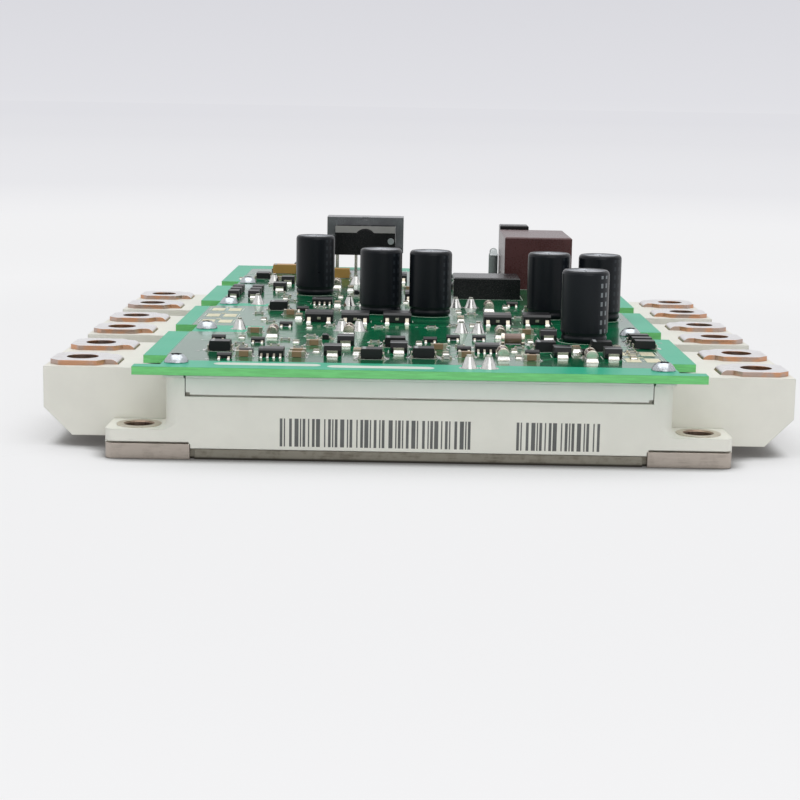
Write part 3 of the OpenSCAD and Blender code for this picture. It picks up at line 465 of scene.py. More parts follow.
@dataclass(frozen=True)
class Plating:
    """Bright, plated, sheared or turned metal.

    Attributes:
        name: Name of the material.
        colour: Colour of the metal.
        rough: Middle roughness.
        worked: Direction of the working marks.
        mark: Width of the working marks in millimetres.
        mark_span: Noise over which the marks come in.
        depth: Depth of the marks in millimetres.
        stain: Darker colour in clouds, if it isn't a plain shade of the metal.
        gains: Factors for that plain shade and for the tone of the marks.
        edge: Rounding of the edges in millimetres.
        cut: The two colours of bare cut faces, if any.
        cut_cloud: Size of their clouds in millimetres.
        cut_span: Noise over which one colour turns into the other.
        cut_share: Strength of these colours.
        foot: Painted shadow line along the lowest edge, if any.
        foot_shadow_span: Height in millimetres over which that painted shadow line comes in.
        cloud: Size of the clouds of stain in millimetres.
        cloud_span: Noise over which the stain comes in.
        swing: Change of roughness with the marks and with the clouds.
    """

    name: str
    colour: Colour
    rough: float = 0.3
    worked: Axis = Axis.NONE
    mark: float = 0.15
    mark_span: Flat = (0.35, 0.75)
    depth: float = 0.004
    stain: Colour | None = None
    gains: Flat = (0.72, 1.08)
    edge: float = 0.08
    cut: tuple[Colour, Colour] | None = None
    cut_cloud: float = 4.0
    cut_span: Flat = (0.4, 0.6)
    cut_share: float = 0.92
    foot: Colour | None = None
    foot_shadow_span: Flat = (0.6, 0.2)
    cloud: float = 2.2
    cloud_span: Flat = (0.42, 0.72)
    swing: Flat = (0.22, 0.12)

    def make(self) -> bpy.types.Material:
        """Build the material.

        Returns:
            The finished material.
        """
        p = Skin(self.name)
        marks, cloud = p.noise(self.mark, self.worked.value), p.noise(self.cloud)
        dark = self.stain or shade(self.colour, self.gains[0])
        base = p.blend(p.ramp(cloud, *self.cloud_span), self.colour, dark)
        base = p.blend(p.ramp(marks, *self.mark_span), base, shade(self.colour, self.gains[1]))
        if self.cut is not None:
            bare = p.blend(p.ramp(p.noise(self.cut_cloud, detail=1.0), *self.cut_span), *self.cut)
            base = p.blend(p.upright() * self.cut_share, base, bare)
        # Painted shadow: darker towards the lowest edge.
        if self.foot is not None:
            base = p.blend(p.ramp(p.along("Z") / MM, *self.foot_shadow_span), base, self.foot)
        p.put("Base Color", base)
        p.put("Metallic", 1.0)
        p.put("Roughness", self.rough + marks.swing(self.swing[0]) + cloud.swing(self.swing[1]))
        p.put("Normal", p.relief(marks, self.depth, p.soft_edge(self.edge)))
        return p.material


@dataclass(frozen=True)
class SolderMask:
    """Lacquer over copper and glass cloth, bare cloth at the cut edges.

    Attributes:
        name: Name of the material.
        mask: Colour of the lacquer over bare cloth.
        pour: Colour of the lacquer over copper.
        edge: Colour of the cut edges.
        areas: Low and high corners of the copper areas in plan, in millimetres.
        rim: Soft rim of the copper areas in millimetres.
        up_span: Upward part of the normal over which the copper comes in.
        patch: Size of the lighter and darker patches of copper in millimetres.
        patch_span: Value of a patch over which it gets lighter.
        patch_gain: Factor for the lighter patches.
        weave: Scale of the glass cloth.
        weave_bend: Waviness of its threads.
        weave_rise: Height of its threads as a share of the depth.
        cloud: Size of the clouds of tone in millimetres.
        dark_share: Share of the darker lacquer from the cloth and from the clouds.
        dark_gain: Factor for the darker lacquer.
        layer: Thickness of the layers at the cut edges in millimetres.
        layer_stretch: Stretch of these layers.
        layer_span: Noise over which the layers change.
        layer_gain: Factor for the lighter layers.
        rough: Roughness over copper.
        swing: Change of roughness over bare cloth, with the clouds and at the cut edges.
        sheen: Level of the mirror part.
        gloss: Weight of the clear top coat over copper.
        gloss_rough: Roughness of that coat.
        depth: Depth of the cloth and the layers in millimetres.
        bevel: Rounding of the edges in millimetres.
    """

    name: str
    mask: Colour
    pour: Colour
    edge: Colour
    areas: tuple[tuple[Flat, Flat], ...]
    rim: float = 0.6
    up_span: Flat = (0.1, 0.6)
    patch: float = 17.0
    patch_span: Flat = (0.5, 0.56)
    patch_gain: float = 1.35
    weave: float = 320.0
    weave_bend: float = 0.6
    weave_rise: float = 0.4
    cloud: float = 14.0
    dark_share: Flat = (0.3, 0.4)
    dark_gain: float = 0.86
    layer: float = 0.35
    layer_stretch: Point = (0.08, 0.08, 1.0)
    layer_span: Flat = (0.35, 0.7)
    layer_gain: float = 1.2
    rough: float = 0.16
    swing: Point = (0.14, 0.08, 0.3)
    sheen: float = 0.1
    gloss: float = 0.4
    gloss_rough: float = 0.08
    depth: float = 0.006
    bevel: float = 0.25

    def make(self) -> bpy.types.Material:
        """Build the material.

        Returns:
            The finished material.
        """
        p = Skin(self.name)
        side, cloud = p.upright(), p.noise(self.cloud)
        copper = functools.reduce(Sock.peak, (p.inside(low, high, self.rim) for low, high in self.areas))
        copper = copper * p.ramp(p.along("Z", "Normal"), *self.up_span)
        woven = {"Vector": p.place(), "Scale": self.weave, "Distortion": self.weave_bend}
        warp, weft = (p.add("ShaderNodeTexWave", {"bands_direction": axis}, woven, "Fac") for axis in "XY")
        cloth = warp * weft
        light = p.ramp(p.patches(self.patch), *self.patch_span)
        pour = p.blend(light, self.pour, shade(self.pour, self.patch_gain))
        dark = cloth * self.dark_share[0] + cloud.swing(self.dark_share[1])
        mask = p.blend(dark, self.mask, shade(self.mask, self.dark_gain))
        layers = p.noise(self.layer, self.layer_stretch)
        cut = p.blend(p.ramp(layers, *self.layer_span), self.edge, shade(self.edge, self.layer_gain))
        over_cloth, with_cloud, at_edge = self.swing
        p.put("Base Color", p.blend(side, p.blend(copper, mask, pour), cut))
        p.put("Roughness", self.rough + (1 - copper) * over_cloth + cloud.swing(with_cloud) + side * at_edge)
        p.put("Specular IOR Level", self.sheen)
        p.put("Coat Weight", copper * self.gloss)
        p.put("Coat Roughness", self.gloss_rough)
        height = cloth * self.weave_rise + layers * side
        p.put("Normal", p.relief(height, self.depth, p.soft_edge(self.bevel)))
        return p.material


@dataclass(frozen=True)
class Sleeve:
    """Shrunk film sleeve of a round can with its bare metal lid.

    Heights are shares of the can's height, from the ends of its wires to its lid.

    Attributes:
        name: Name of the material.
        film: Colour of the film.
        stripe: Colour of the pole stripe.
        mark: Colour of the dashes on the stripe.
        metal: Colour of the lid and the wires.
        lid: Share of the radius that stays bare at the lid.
        shoulder: Height above which faces can belong to the lid.
        wires: Height below which faces can belong to the wires.
        wire_reach: Share of the radius inside which the wires stand.
        turn: Middle of the stripe as an angle.
        half: Half the angle that the stripe covers.
        stripe_ends: Heights between which the stripe runs.
        stripe_share: Strength of the stripe's colour.
        dashes: Number of dashes over the height.
        dash_ends: Start and end of a dash as shares of their pitch.
        dash_at: Angle of the two rows of dashes from the middle of the stripe.
        dash_half: Half the angle that a dash covers.
        cloud: Size of the clouds of tone in millimetres.
        metal_span: Noise over which the metal changes its tone.
        gains: Factors for the lighter film and for the darker metal.
        crease: Size of the creases in the film in millimetres.
        crease_stretch: Stretch of the creases.
        depth: Depth of the creases in millimetres.
        edge: Rounding of the edges in millimetres.
        rough: Middle roughness of the film.
        swing: Change of roughness with the clouds and on the lid.
        sheen: Level of the mirror part.
    """

    name: str
    film: Colour
    stripe: Colour
    mark: Colour
    metal: Colour
    lid: float = 0.82
    shoulder: float = 0.6
    wires: float = 0.12
    wire_reach: float = 0.62
    turn: float = -0.75
    half: float = 0.3
    stripe_ends: Flat = (0.2, 0.95)
    stripe_share: float = 0.35
    dashes: float = 9.0
    dash_ends: Flat = (0.2, 0.7)
    dash_at: float = 0.14
    dash_half: float = 0.06
    cloud: float = 3.0
    metal_span: Flat = (0.35, 0.7)
    gains: Flat = (1.5, 0.8)
    crease: float = 0.7
    crease_stretch: Point = (1.0, 1.0, 0.15)
    depth: float = 0.012
    edge: float = 0.12
    rough: float = 0.3
    swing: Flat = (0.12, 0.08)
    sheen: float = 0.2

    def make(self) -> bpy.types.Material:
        """Build the material.

        Returns:
            The finished material.
        """
        p = Skin(self.name)
        x, y, z = (p.along(axis, "Generated") for axis in "XYZ")
        x, y = x - 0.5, y - 0.5
        radius = (x * x + y * y).root() * 2.0
        bare = (radius < self.lid) * (z > self.shoulder)
        shiny = ((z < self.wires) * (radius < self.wire_reach)).peak(bare)
        turn = y.angle(x) - self.turn
        band = (abs(turn) < self.half) * (z > self.stripe_ends[0]) * (z < self.stripe_ends[1])
        beat = (z * self.dashes).part()
        dash = abs(abs(turn) - self.dash_at) < self.dash_half
        dash = dash * (beat < self.dash_ends[1]) * (beat > self.dash_ends[0])
        crease, cloud = p.noise(self.crease, self.crease_stretch), p.noise(self.cloud)
        film = p.blend(cloud, self.film, shade(self.film, self.gains[0]))
        film = p.blend(band * self.stripe_share, film, self.stripe)
        film = p.blend(dash * band, film, self.mark)
        metal = p.blend(p.ramp(cloud, *self.metal_span), self.metal, shade(self.metal, self.gains[1]))
        p.put("Base Color", p.blend(shiny, film, metal))
        p.put("Metallic", shiny)
        p.put("Roughness", self.rough + cloud.swing(self.swing[0]) + bare * self.swing[1])
        p.put("Specular IOR Level", self.sheen)
        p.put("Normal", p.relief(crease, self.depth, p.soft_edge(self.edge)))
        return p.material


@dataclass(frozen=True)
class Clear:
    """Clear resin, glass or soft filling.

    Attributes:
        name: Name of the material.
        colour: Tint.
        rough: Least roughness.
        through: Share of light that passes.
        bending: Index of refraction.
        cloud: Size of the clouds in millimetres.
        cloud_span: Noise over which the tint changes.
        gain: Factor for the darker tint.
        swing: Change of roughness with the clouds.
        depth: Depth of the clouds in millimetres.
    """

    name: str
    colour: Colour
    rough: float = 0.08
    through: float = 0.85
    bending: float = 1.46
    cloud: float = 1.2
    cloud_span: Flat = (0.3, 0.7)
    gain: float = 0.86
    swing: float = 0.05
    depth: float = 0.01

    def make(self) -> bpy.types.Material:
        """Build the material.

        Returns:
            The finished material.
        """
        p = Skin(self.name)
        cloud = p.noise(self.cloud)
        tint = p.blend(p.ramp(cloud, *self.cloud_span), self.colour, shade(self.colour, self.gain))
        p.put("Base Color", tint)
        p.put("Roughness", self.rough + cloud * self.swing)
        p.put("Transmission Weight", self.through)
        p.put("IOR", self.bending)
        p.put("Normal", p.relief(cloud, self.depth))
        return p.material


@dataclass(frozen=True)
class CladCeramic:
    """White ceramic between two copper layers.

    Attributes:
        name: Name of the material.
        ceramic: Colour of the ceramic.
        copper: Colour of the copper.
        low: Lower face of the ceramic in millimetres.
        high: Upper face of the ceramic in millimetres.
        seam: Distance from these faces at which the copper starts, in millimetres.
        cloud: Size of the clouds of tone in millimetres.
        cloud_span: Noise over which the copper changes its tone.
        gain: Factor for the darker copper.
        rough: Middle roughness.
        swing: Change of roughness with the clouds.
        grain: Size of the surface grain in millimetres.
        depth: Depth of the grain in millimetres.
    """

    name: str
    ceramic: Colour
    copper: Colour
    low: float
    high: float
    seam: float = 0.01
    cloud: float = 1.5
    cloud_span: Flat = (0.35, 0.7)
    gain: float = 0.75
    rough: float = 0.42
    swing: float = 0.2
    grain: float = 0.25
    depth: float = 0.004

    def make(self) -> bpy.types.Material:
        """Build the material.

        Returns:
            The finished material.
        """
        p = Skin(self.name)
        z, cloud = p.along("Z"), p.noise(self.cloud)
        metal = (z > (self.high + self.seam) * MM).peak(z < (self.low - self.seam) * MM)
        copper = p.blend(p.ramp(cloud, *self.cloud_span), self.copper, shade(self.copper, self.gain))
        p.put("Base Color", p.blend(metal, self.ceramic, copper))
        p.put("Metallic", metal)
        p.put("Roughness", self.rough + cloud.swing(self.swing))
        p.put("Normal", p.relief(p.noise(self.grain), self.depth))
        return p.material


class Finish(Enum):
    """The finishes of the module by the part that wears them."""

    # The housing and the lid darken in their corners: dust and painted shade.
    HOUSING = Moulding("housing_plastic", tone(231, 230, 221), grain=0.5, depth=0.012, mottle=0.02, edge=0.3,
                       dust_and_shade=tone(182, 179, 167))
    LID = Moulding("lid_plastic", tone(229, 230, 223), rough=0.48, grain=0.5, depth=0.012, mottle=0.02,
                   edge=0.25, dust_and_shade=tone(182, 179, 167))
    PLATE = Plating("nickel_plate", tone(188, 178, 168), rough=0.42, worked=Axis.X, mark=0.22,
                    stain=tone(172, 162, 152), edge=0.2)
    # A darker copy of the plate for its sheared set-back edge faces: painted shade, with a painted shadow
    # line along their foot.
    SHEARED_SHADE = Plating("sheared_plate_painted_shade", tone(154, 150, 138), rough=0.5, worked=Axis.X, mark=0.3, depth=0.006,
                      stain=tone(124, 118, 106), edge=0.2, foot=tone(78, 75, 69))
    BUSH = Plating("bush_metal", tone(212, 205, 193), rough=0.36, mark=0.3, stain=tone(190, 180, 166),
                   edge=0.15)
    # Darker metal for the bush bores: painted shade in the hole.
    BORE_SHADE = Plating("bush_bore_painted_shade", tone(150, 132, 117), rough=0.45, worked=Axis.Z, mark=0.3, depth=0.006,
                   stain=tone(112, 94, 82), edge=0.1)
    TERMINAL = Plating("nickel_copper", tone(228, 227, 227), worked=Axis.X, mark=0.2, depth=0.0015,
                       stain=tone(212, 208, 206), edge=0.2, cut=(tone(182, 158, 146), tone(206, 150, 112)))
    NUT = Plating("zinc_steel", tone(172, 168, 156), rough=0.36, mark=0.2, depth=0.006,
                  stain=tone(130, 124, 108))
    PIN = Plating("tinned_pin", tone(214, 210, 200), rough=0.26, worked=Axis.Z, mark=0.12, depth=0.003)
    SCREW = Plating("screw_steel", tone(176, 182, 186), rough=0.24, mark=0.35, depth=0.003,
                    stain=tone(152, 156, 160), edge=0.12)
    # Darker metal for the screw sockets: painted shade in the recess.
    SOCKET_SHADE = Plating("screw_socket_painted_shade", tone(92, 92, 95), rough=0.45, mark=0.35, stain=tone(62, 62, 64),
                     edge=0.05)
    SPARE = Plating("bare_pad", tone(226, 220, 190), rough=0.42, mark=0.6, depth=0.006,
                    stain=tone(196, 190, 160), edge=0.05)
    SOLDER = Plating("solder", tone(210, 210, 207), rough=0.22, mark=0.5, depth=0.01,
                     stain=tone(172, 173, 172), edge=0.1)
    LEAD = Plating("tinned_lead", tone(206, 199, 182), mark=0.2, stain=tone(160, 152, 136), edge=0.05)
    CAP = Plating("diode_cap", tone(224, 217, 204), rough=0.18, mark=0.2, depth=0.003,
                  stain=tone(184, 174, 158), edge=0.4)
    ALUMINIUM = Plating("bond_aluminium", tone(214, 215, 216), worked=Axis.Y, mark=0.1, depth=0.003)
    GOLD = Plating("gold_contact", tone(214, 184, 110), rough=0.28, worked=Axis.Z, mark=0.1, depth=0.003)
    SILICON = Plating("silicon", tone(120, 124, 134), rough=0.22, mark=0.8, depth=0.002)
    BOARD = SolderMask("board_green", tone(44, 178, 140), tone(0, 96, 60), tone(116, 198, 124), areas=(
        ((-50.0, -75.0), (49.5, -31.0)), ((-34.5, -32.0), (49.5, 120.0)),
        ((-51.0, -19.0), (50.0, 20.0)), ((-49.5, 26.5), (50.0, 120.0))))
    TRACE = Moulding("masked_copper", tone(30, 140, 92), rough=0.14, grain=0.8, depth=0.002, mottle=0.08,
                     edge=0.03)
    INK = Moulding("white_print", tone(210, 219, 208), grain=0.2, depth=0.004, mottle=0.05, edge=0.02)
    BAR = Moulding("dark_print", tone(98, 99, 98), rough=0.55, grain=0.15, depth=0.004, mottle=0.12,
                   edge=0.02)
    SLEEVE = Sleeve("black_sleeve", film=tone(16, 19, 24), stripe=tone(34, 38, 44), mark=tone(46, 50, 56),
                    metal=tone(172, 175, 180))
    PRINTED = Sleeve("printed_sleeve", film=tone(22, 25, 30), stripe=tone(38, 42, 48),
                     mark=tone(132, 136, 142), metal=tone(172, 175, 180))
    BROWN = Moulding("brown_plastic", tone(80, 45, 46), rough=0.28, grain=0.4, depth=0.003, mottle=0.1,
                     edge=0.3, sheen=0.45)
    BLACK = Moulding("black_plastic", tone(16, 16, 19), rough=0.26, grain=0.35, depth=0.002, mottle=0.12,
                     edge=0.2, sheen=0.4)
    GREY = Moulding("grey_plastic", tone(150, 154, 156), depth=0.006, edge=0.15)
    FERRITE = Moulding("ferrite", tone(100, 102, 106), rough=0.26, grain=0.22, mottle=0.16, edge=0.2,
                       sheen=0.9)
    LABEL = Moulding("grey_tape", tone(158, 154, 154), rough=0.4, depth=0.006, mottle=0.08, edge=0.05)
    TAPE = Moulding("winding_tape", tone(44, 40, 36), rough=0.32, grain=0.5, mottle=0.15)
    EPOXY = Moulding("chip_epoxy", tone(21, 21, 24), rough=0.36, grain=0.12, depth=0.004, mottle=0.12,
                     sheen=0.45)
    RESISTOR = Moulding("chip_ceramic", tone(206, 206, 200), rough=0.42, grain=0.15, depth=0.004, mottle=0.05,
                        edge=0.04, top=tone(20, 21, 23))
    TAN = Moulding("tan_ceramic", tone(150, 122, 92), rough=0.44, grain=0.15, depth=0.004, mottle=0.1,
                   edge=0.06)
    GOLDEN = Moulding("golden_epoxy", tone(176, 134, 70), rough=0.42, grain=0.2, depth=0.005, mottle=0.08,
                      edge=0.12)
    GLASS = Moulding("diode_glass", tone(122, 92, 78), rough=0.1, grain=0.6, depth=0.002, mottle=0.25,
                     sheen=0.7)
    LENS = Clear("clear_lens", tone(232, 238, 238))
    GEL = Clear("soft_gel", tone(226, 232, 234), rough=0.2)
    SUBSTRATE = CladCeramic("ceramic_copper", tone(226, 220, 206), tone(196, 126, 92), low=3.3, high=3.94)


class Wardrobe:
    """Makes each material once and hands it out."""

    def __init__(self) -> None:
        """Start with nothing made."""
        self.made: dict[Finish, bpy.types.Material] = {}

    def get(self, finish: Finish) -> bpy.types.Material:
        """Give the material of a finish.

        Args:
            finish: The finish.

        Returns:
            Its material.
        """
        if finish not in self.made:
            self.made[finish] = finish.value.make()
        return self.made[finish]

    def dress(self, node: str, *finishes: Finish) -> bpy.types.Mesh:
        """Put finishes on a node of the frame.

        Args:
            node: Name of the node.
            finishes: One finish for each material slot.

        Returns:
            The node's mesh.
        """
        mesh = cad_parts[node].data
        mesh.materials.clear()
        for finish in finishes:
            mesh.materials.append(self.get(finish))
        LOG.info("dressed %s in %s", node, ", ".join(finish.value.name for finish in finishes))
        return mesh


def islands(mesh: bpy.types.Mesh) -> list[list[bpy.types.MeshPolygon]]:
    """Split a mesh into its separate solids.

    Args:
        mesh: Mesh of a node.

    Returns:
        The faces of each solid.
    """
    steps_per_metre = 2e5
    keys = [tuple(round(v * steps_per_metre) for v in vertex.co) for vertex in mesh.vertices]
    parent: dict[tuple, tuple] = {key: key for key in keys}

    def top(key: tuple) -> tuple:
        """Find the key that stands for a group.

        Args:
            key: A key of the group.

        Returns:
            The key at its top.
        """
        while parent[key] != key:
            parent[key] = parent[parent[key]]
            key = parent[key]
        return key

    for polygon in mesh.polygons:
        first = top(keys[polygon.vertices[0]])
        for index in polygon.vertices[1:]:
            parent[top(keys[index])] = first
    groups: dict[tuple, list[bpy.types.MeshPolygon]] = {}
    for polygon in mesh.polygons:
        groups.setdefault(top(keys[polygon.vertices[0]]), []).append(polygon)
    return list(groups.values())


def corners_of(mesh: bpy.types.Mesh, island: Iterable[bpy.types.MeshPolygon]) -> list[Vector]:
    """List the corners of some faces in millimetres."""
    return [mesh.vertices[i].co / MM for polygon in island for i in polygon.vertices]


def span(points: Sequence[Vector]) -> tuple[Vector, Vector]:
    """Give the box round some points.

    Args:
        points: The points.

    Returns:
        Its low and its high corner.
    """
    low = Vector(min(p[k] for p in points) for k in range(3))
    high = Vector(max(p[k] for p in points) for k in range(3))
    return low, high


def middle_of(points: Sequence[Vector]) -> Flat:
    """Give the middle in plan of the box round some points."""
    low, high = span(points)
    return (low.x + high.x) / 2, (low.y + high.y) / 2


def solids(node: str) -> list[list[Vector]]:
    """List the corners of each solid of a node in millimetres."""
    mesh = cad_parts[node].data
    return [corners_of(mesh, island) for island in islands(mesh)]


def box_of(node: str) -> tuple[Vector, Vector]:
    """Give the low and high corners of a node in millimetres."""
    low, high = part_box(node)
    return low / MM, high / MM


def side_of(p: Flat, q: Flat, r: Flat) -> float:
    """Tell by its sign on which side of the line from p to q the point r lies."""
    return (q[0] - p[0]) * (r[1] - p[1]) - (q[1] - p[1]) * (r[0] - p[0])


def shade_hollows(mesh: bpy.types.Mesh, floor: float = 0.0) -> None:
    """Give the second material, which paints shade, to the faces that look into the hole of a round solid.

    Args:
        mesh: Mesh of a node with round upright solids.
        floor: Radius in millimetres inside which level faces count as the floor of the hole.
    """
    least_inward, least_level = 0.2, 0.9
    for island in islands(mesh):
        middle = Vector(middle_of(corners_of(mesh, island)))
        for polygon in island:
            out = polygon.center.to_2d() / MM - middle
            inward = out.dot(polygon.normal.to_2d()) < -least_inward * out.length
            level = polygon.normal.z > least_level and out.length < floor
            polygon.material_index = int(inward or level)


class Shape:
    """Gathers the corners and faces of one piece, in millimetres."""

    def __init__(self) -> None:
        """Start with no faces."""
        self.points: list[Point] = []
        self.faces: list[tuple[int, ...]] = []
        self.rounded: list[bool] = []

    def face(self, corners: Iterable[int], rounded: bool = False) -> None:
        """Add one face.

        Args:
            corners: Numbers of its corners.
            rounded: Whether it is shaded smooth.
        """
        self.faces.append(tuple(corners))
        self.rounded.append(rounded)

    def band(self, first: int, second: int, count: int, rounded: bool) -> None:
        """Join two closed rows of corners by four-sided faces.

        Args:
            first: Number of the first corner of one row.
            second: Number of the first corner of the other row.
            count: Corners in each row.
            rounded: Whether the faces are shaded smooth.
        """
        for k in range(count):
            n = (k + 1) % count
            self.face((first + k, first + n, second + n, second + k), rounded)

    def circle(self, middle: Flat, radius: float, height: float, steps: int) -> None:
        """Add the corners of a level circle.

        Args:
            middle: Its middle in plan.
            radius: Its radius.
            height: Its height.
            steps: Number of corners.
        """
        for k in range(steps):
            turn = 2 * math.pi * k / steps
            x, y = radius * math.cos(turn), radius * math.sin(turn)
            self.points.append((middle[0] + x, middle[1] + y, height))

    def prism(self, low: Sequence[Point], high: Sequence[Point], rounded: bool = False) -> None:
        """Join two outlines with equal numbers of corners.

        Args:
            low: Corners of the first end, seen anticlockwise from the second end.
            high: Corners of the second end.
            rounded: Whether the sides are shaded smooth.
        """
        start, count = len(self.points), len(low)
        self.points += [*low, *high]
        self.face(start + k for k in reversed(range(count)))
        self.face(start + count + k for k in range(count))
        self.band(start, start + count, count, rounded)

    def plate(self, outline: Sequence[Flat], low: float, high: float) -> None:
        """Add an upright prism over an anticlockwise outline.

        Args:
            outline: Corners in plan.
            low: Lower height.
            high: Upper height.
        """
        self.prism([(x, y, low) for x, y in outline], [(x, y, high) for x, y in outline])

    def block(self, low: Point, high: Point) -> None:
        """Add a box between two corners."""
        (x0, y0, z0), (x1, y1, z1) = low, high
        self.plate([(x0, y0), (x1, y0), (x1, y1), (x0, y1)], z0, z1)

    def turned(self, middle: Flat, profile: Sequence[Flat], steps: int) -> None:
        """Add a solid of revolution about an upright axis.

        Args:
            middle: Place of the axis.
            profile: Radius and height from the lower to the upper end.
            steps: Number of sides.
        """
        start, last = len(self.points), len(profile) - 1
        for radius, height in profile:
            self.circle(middle, radius, height, steps)
        for row in range(last):
            self.band(start + row * steps, start + (row + 1) * steps, steps, True)
        self.face(start + k for k in reversed(range(steps)))
        self.face(start + last * steps + k for k in range(steps))

    def ring(self, middle: Flat, radii: Flat, low: float, high: float, steps: int) -> None:
        """Add a flat ring.

        Args:
            middle: Its middle.
            radii: Outer and inner radius.
            low: Lower height.
            high: Upper height.
            steps: Number of sides.
        """
        start, (outer, inner) = len(self.points), radii
        rows = ((outer, low), (outer, high), (inner, high), (inner, low))
        for radius, height in rows:
            self.circle(middle, radius, height, steps)
        for row in range(len(rows)):
            self.band(start + row * steps, start + (row + 1) % len(rows) * steps, steps, False)

    def strip(self, path: Sequence[Flat], width: float, low: float, high: float) -> None:
        """Add a flat band along a bent path.

        Args:
            path: Corners of its middle line.
            width: Width of the band.
            low: Lower height.
            high: Upper height.
        """
        least_turn = 0.5
        left, right = [], []
        for k, here in enumerate(path):
            before, after = path[max(0, k - 1)], path[min(len(path) - 1, k + 1)]
            first = Vector((here[0] - before[0], here[1] - before[1]))
            second = Vector((after[0] - here[0], after[1] - here[1]))
            first = (first if first.length else second).normalized()
            second = (second if second.length else first).normalized()
            way = (first + second).normalized()
            reach = width / 2 / max(least_turn, way.dot(first))
            left.append((here[0] - way.y * reach, here[1] + way.x * reach))
            right.append((here[0] + way.y * reach, here[1] - way.x * reach))
        for k in range(len(path) - 1):
            self.plate([right[k], right[k + 1], left[k + 1], left[k]], low, high)

    def build(self, name: str, slot: str, material: bpy.types.Material) -> bpy.types.Object:
        """Make the object and let it ride on the module.

        Args:
            name: Name of the piece.
            slot: Not used.
            material: Its material.

        Returns:
            The object.
        """
        mesh = bpy.data.meshes.new(name)
        mesh.from_pydata([tuple(v * MM for v in point) for point in self.points], [], self.faces)
        mesh.polygons.foreach_set("use_smooth", self.rounded)
        mesh.materials.append(material)
        mesh.validate()
        piece = bpy.data.objects.new(name, mesh)
        bpy.context.scene.collection.objects.link(piece)
        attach(piece, BODY)
        LOG.info("built %s with %d faces", name, len(mesh.polygons))
        return piece


@dataclass(frozen=True)
class Seat:
    """Where one small part sits on the board, in millimetres.

    Attributes:
        x: Middle across.
        y: Middle along.
        lengthwise: Whether its contacts point along Y.
        length: Size along its contacts.
        width: Size across them.
        height: Height above the board.
        lean: Side of the leads of a part with a tab.
    """

    x: float
    y: float
    lengthwise: bool
    length: float
    width: float
    height: float
    lean: float = 0.0

    def at(self, along: float, across: float) -> Flat:
        """Give a place in plan from a place on the part."""
        return (self.x + across, self.y + along) if self.lengthwise else (self.x + along, self.y + across)

    def patch(self, a0: float, a1: float, c0: float, c1: float) -> list[Flat]:
        """Give an anticlockwise rectangle in plan from two ranges on the part."""
        corners = [self.at(a, c) for a, c in ((a0, c0), (a1, c0), (a1, c1), (a0, c1))]
        return corners[::-1] if self.lengthwise else corners


@dataclass(frozen=True)
class Joint:
    """How a kind of contact is soldered, in millimetres.

    Attributes:
        inner: Length of the pad behind the tip of the contact.
        outer: Length of the pad past the tip.
        run: Length of the slope of solder.
        margin: Width of the pad beyond each side of the contact.
        trim: Distance of the solder from each side of the pad.
        rise: Fixed height of the slope.
        climb: Height of the slope as a share of the part's height.
        cover: Length of the pad under an end contact, as a share of that contact.
    """

    inner: float
    outer: float
    run: float
    margin: float = 0.15
    trim: float = 0.1
    rise: float = 0.0
    climb: float = 0.0
    cover: float = 0.0


class PartKind(Enum):
    """How the contacts of a small part leave its body: bent, with a tab, wrapped, capped or in round caps."""

    GULL = Joint(inner=0.8, outer=0.5, run=0.45, margin=0.1, trim=0.05, rise=0.22)
    TAB = Joint(inner=1.5, outer=0.7, run=0.6, margin=0.25, rise=0.45)
    WRAP = Joint(inner=1.4, outer=1.0, run=0.9, climb=0.3)
    CHIP = Joint(inner=0.2, outer=0.65, run=0.55, climb=0.6, cover=1.0)
    GLASS = Joint(inner=0.2, outer=1.0, run=0.9, climb=0.3, cover=1.0)


@dataclass(frozen=True)
class Contact:
    """One contact of a small part, in millimetres on the part.

    Attributes:
        tip: Place of its outer end along the part, with its sign.
        place: Its middle across the part.
        half: Half its width.
        joint: How it is soldered.
    """

    tip: float
    place: float
    half: float
    joint: Joint

    def sides(self) -> Flat:
        """Give both sides of the pad across the part."""
        wide = self.joint.margin
        return self.place - self.half - wide, self.place + self.half + wide


@dataclass(frozen=True)
class SmallPart:
    """One kind of small part on the board.

    Attributes:
        node: Node of the frame.
        kind: How its contacts leave the body.
        body: Finish of the body.
        reach: Length of an end contact, or half width of a leaded body.
        leads: Places of the leads across the part.
        lead: Width of a lead or contact.
        metal: Finish of the contacts.
    """

    node: str
    kind: PartKind
    body: Finish
    reach: float
    leads: tuple[float, ...] = (0.0,)
    lead: float = 1.0
    metal: Finish = Finish.LEAD


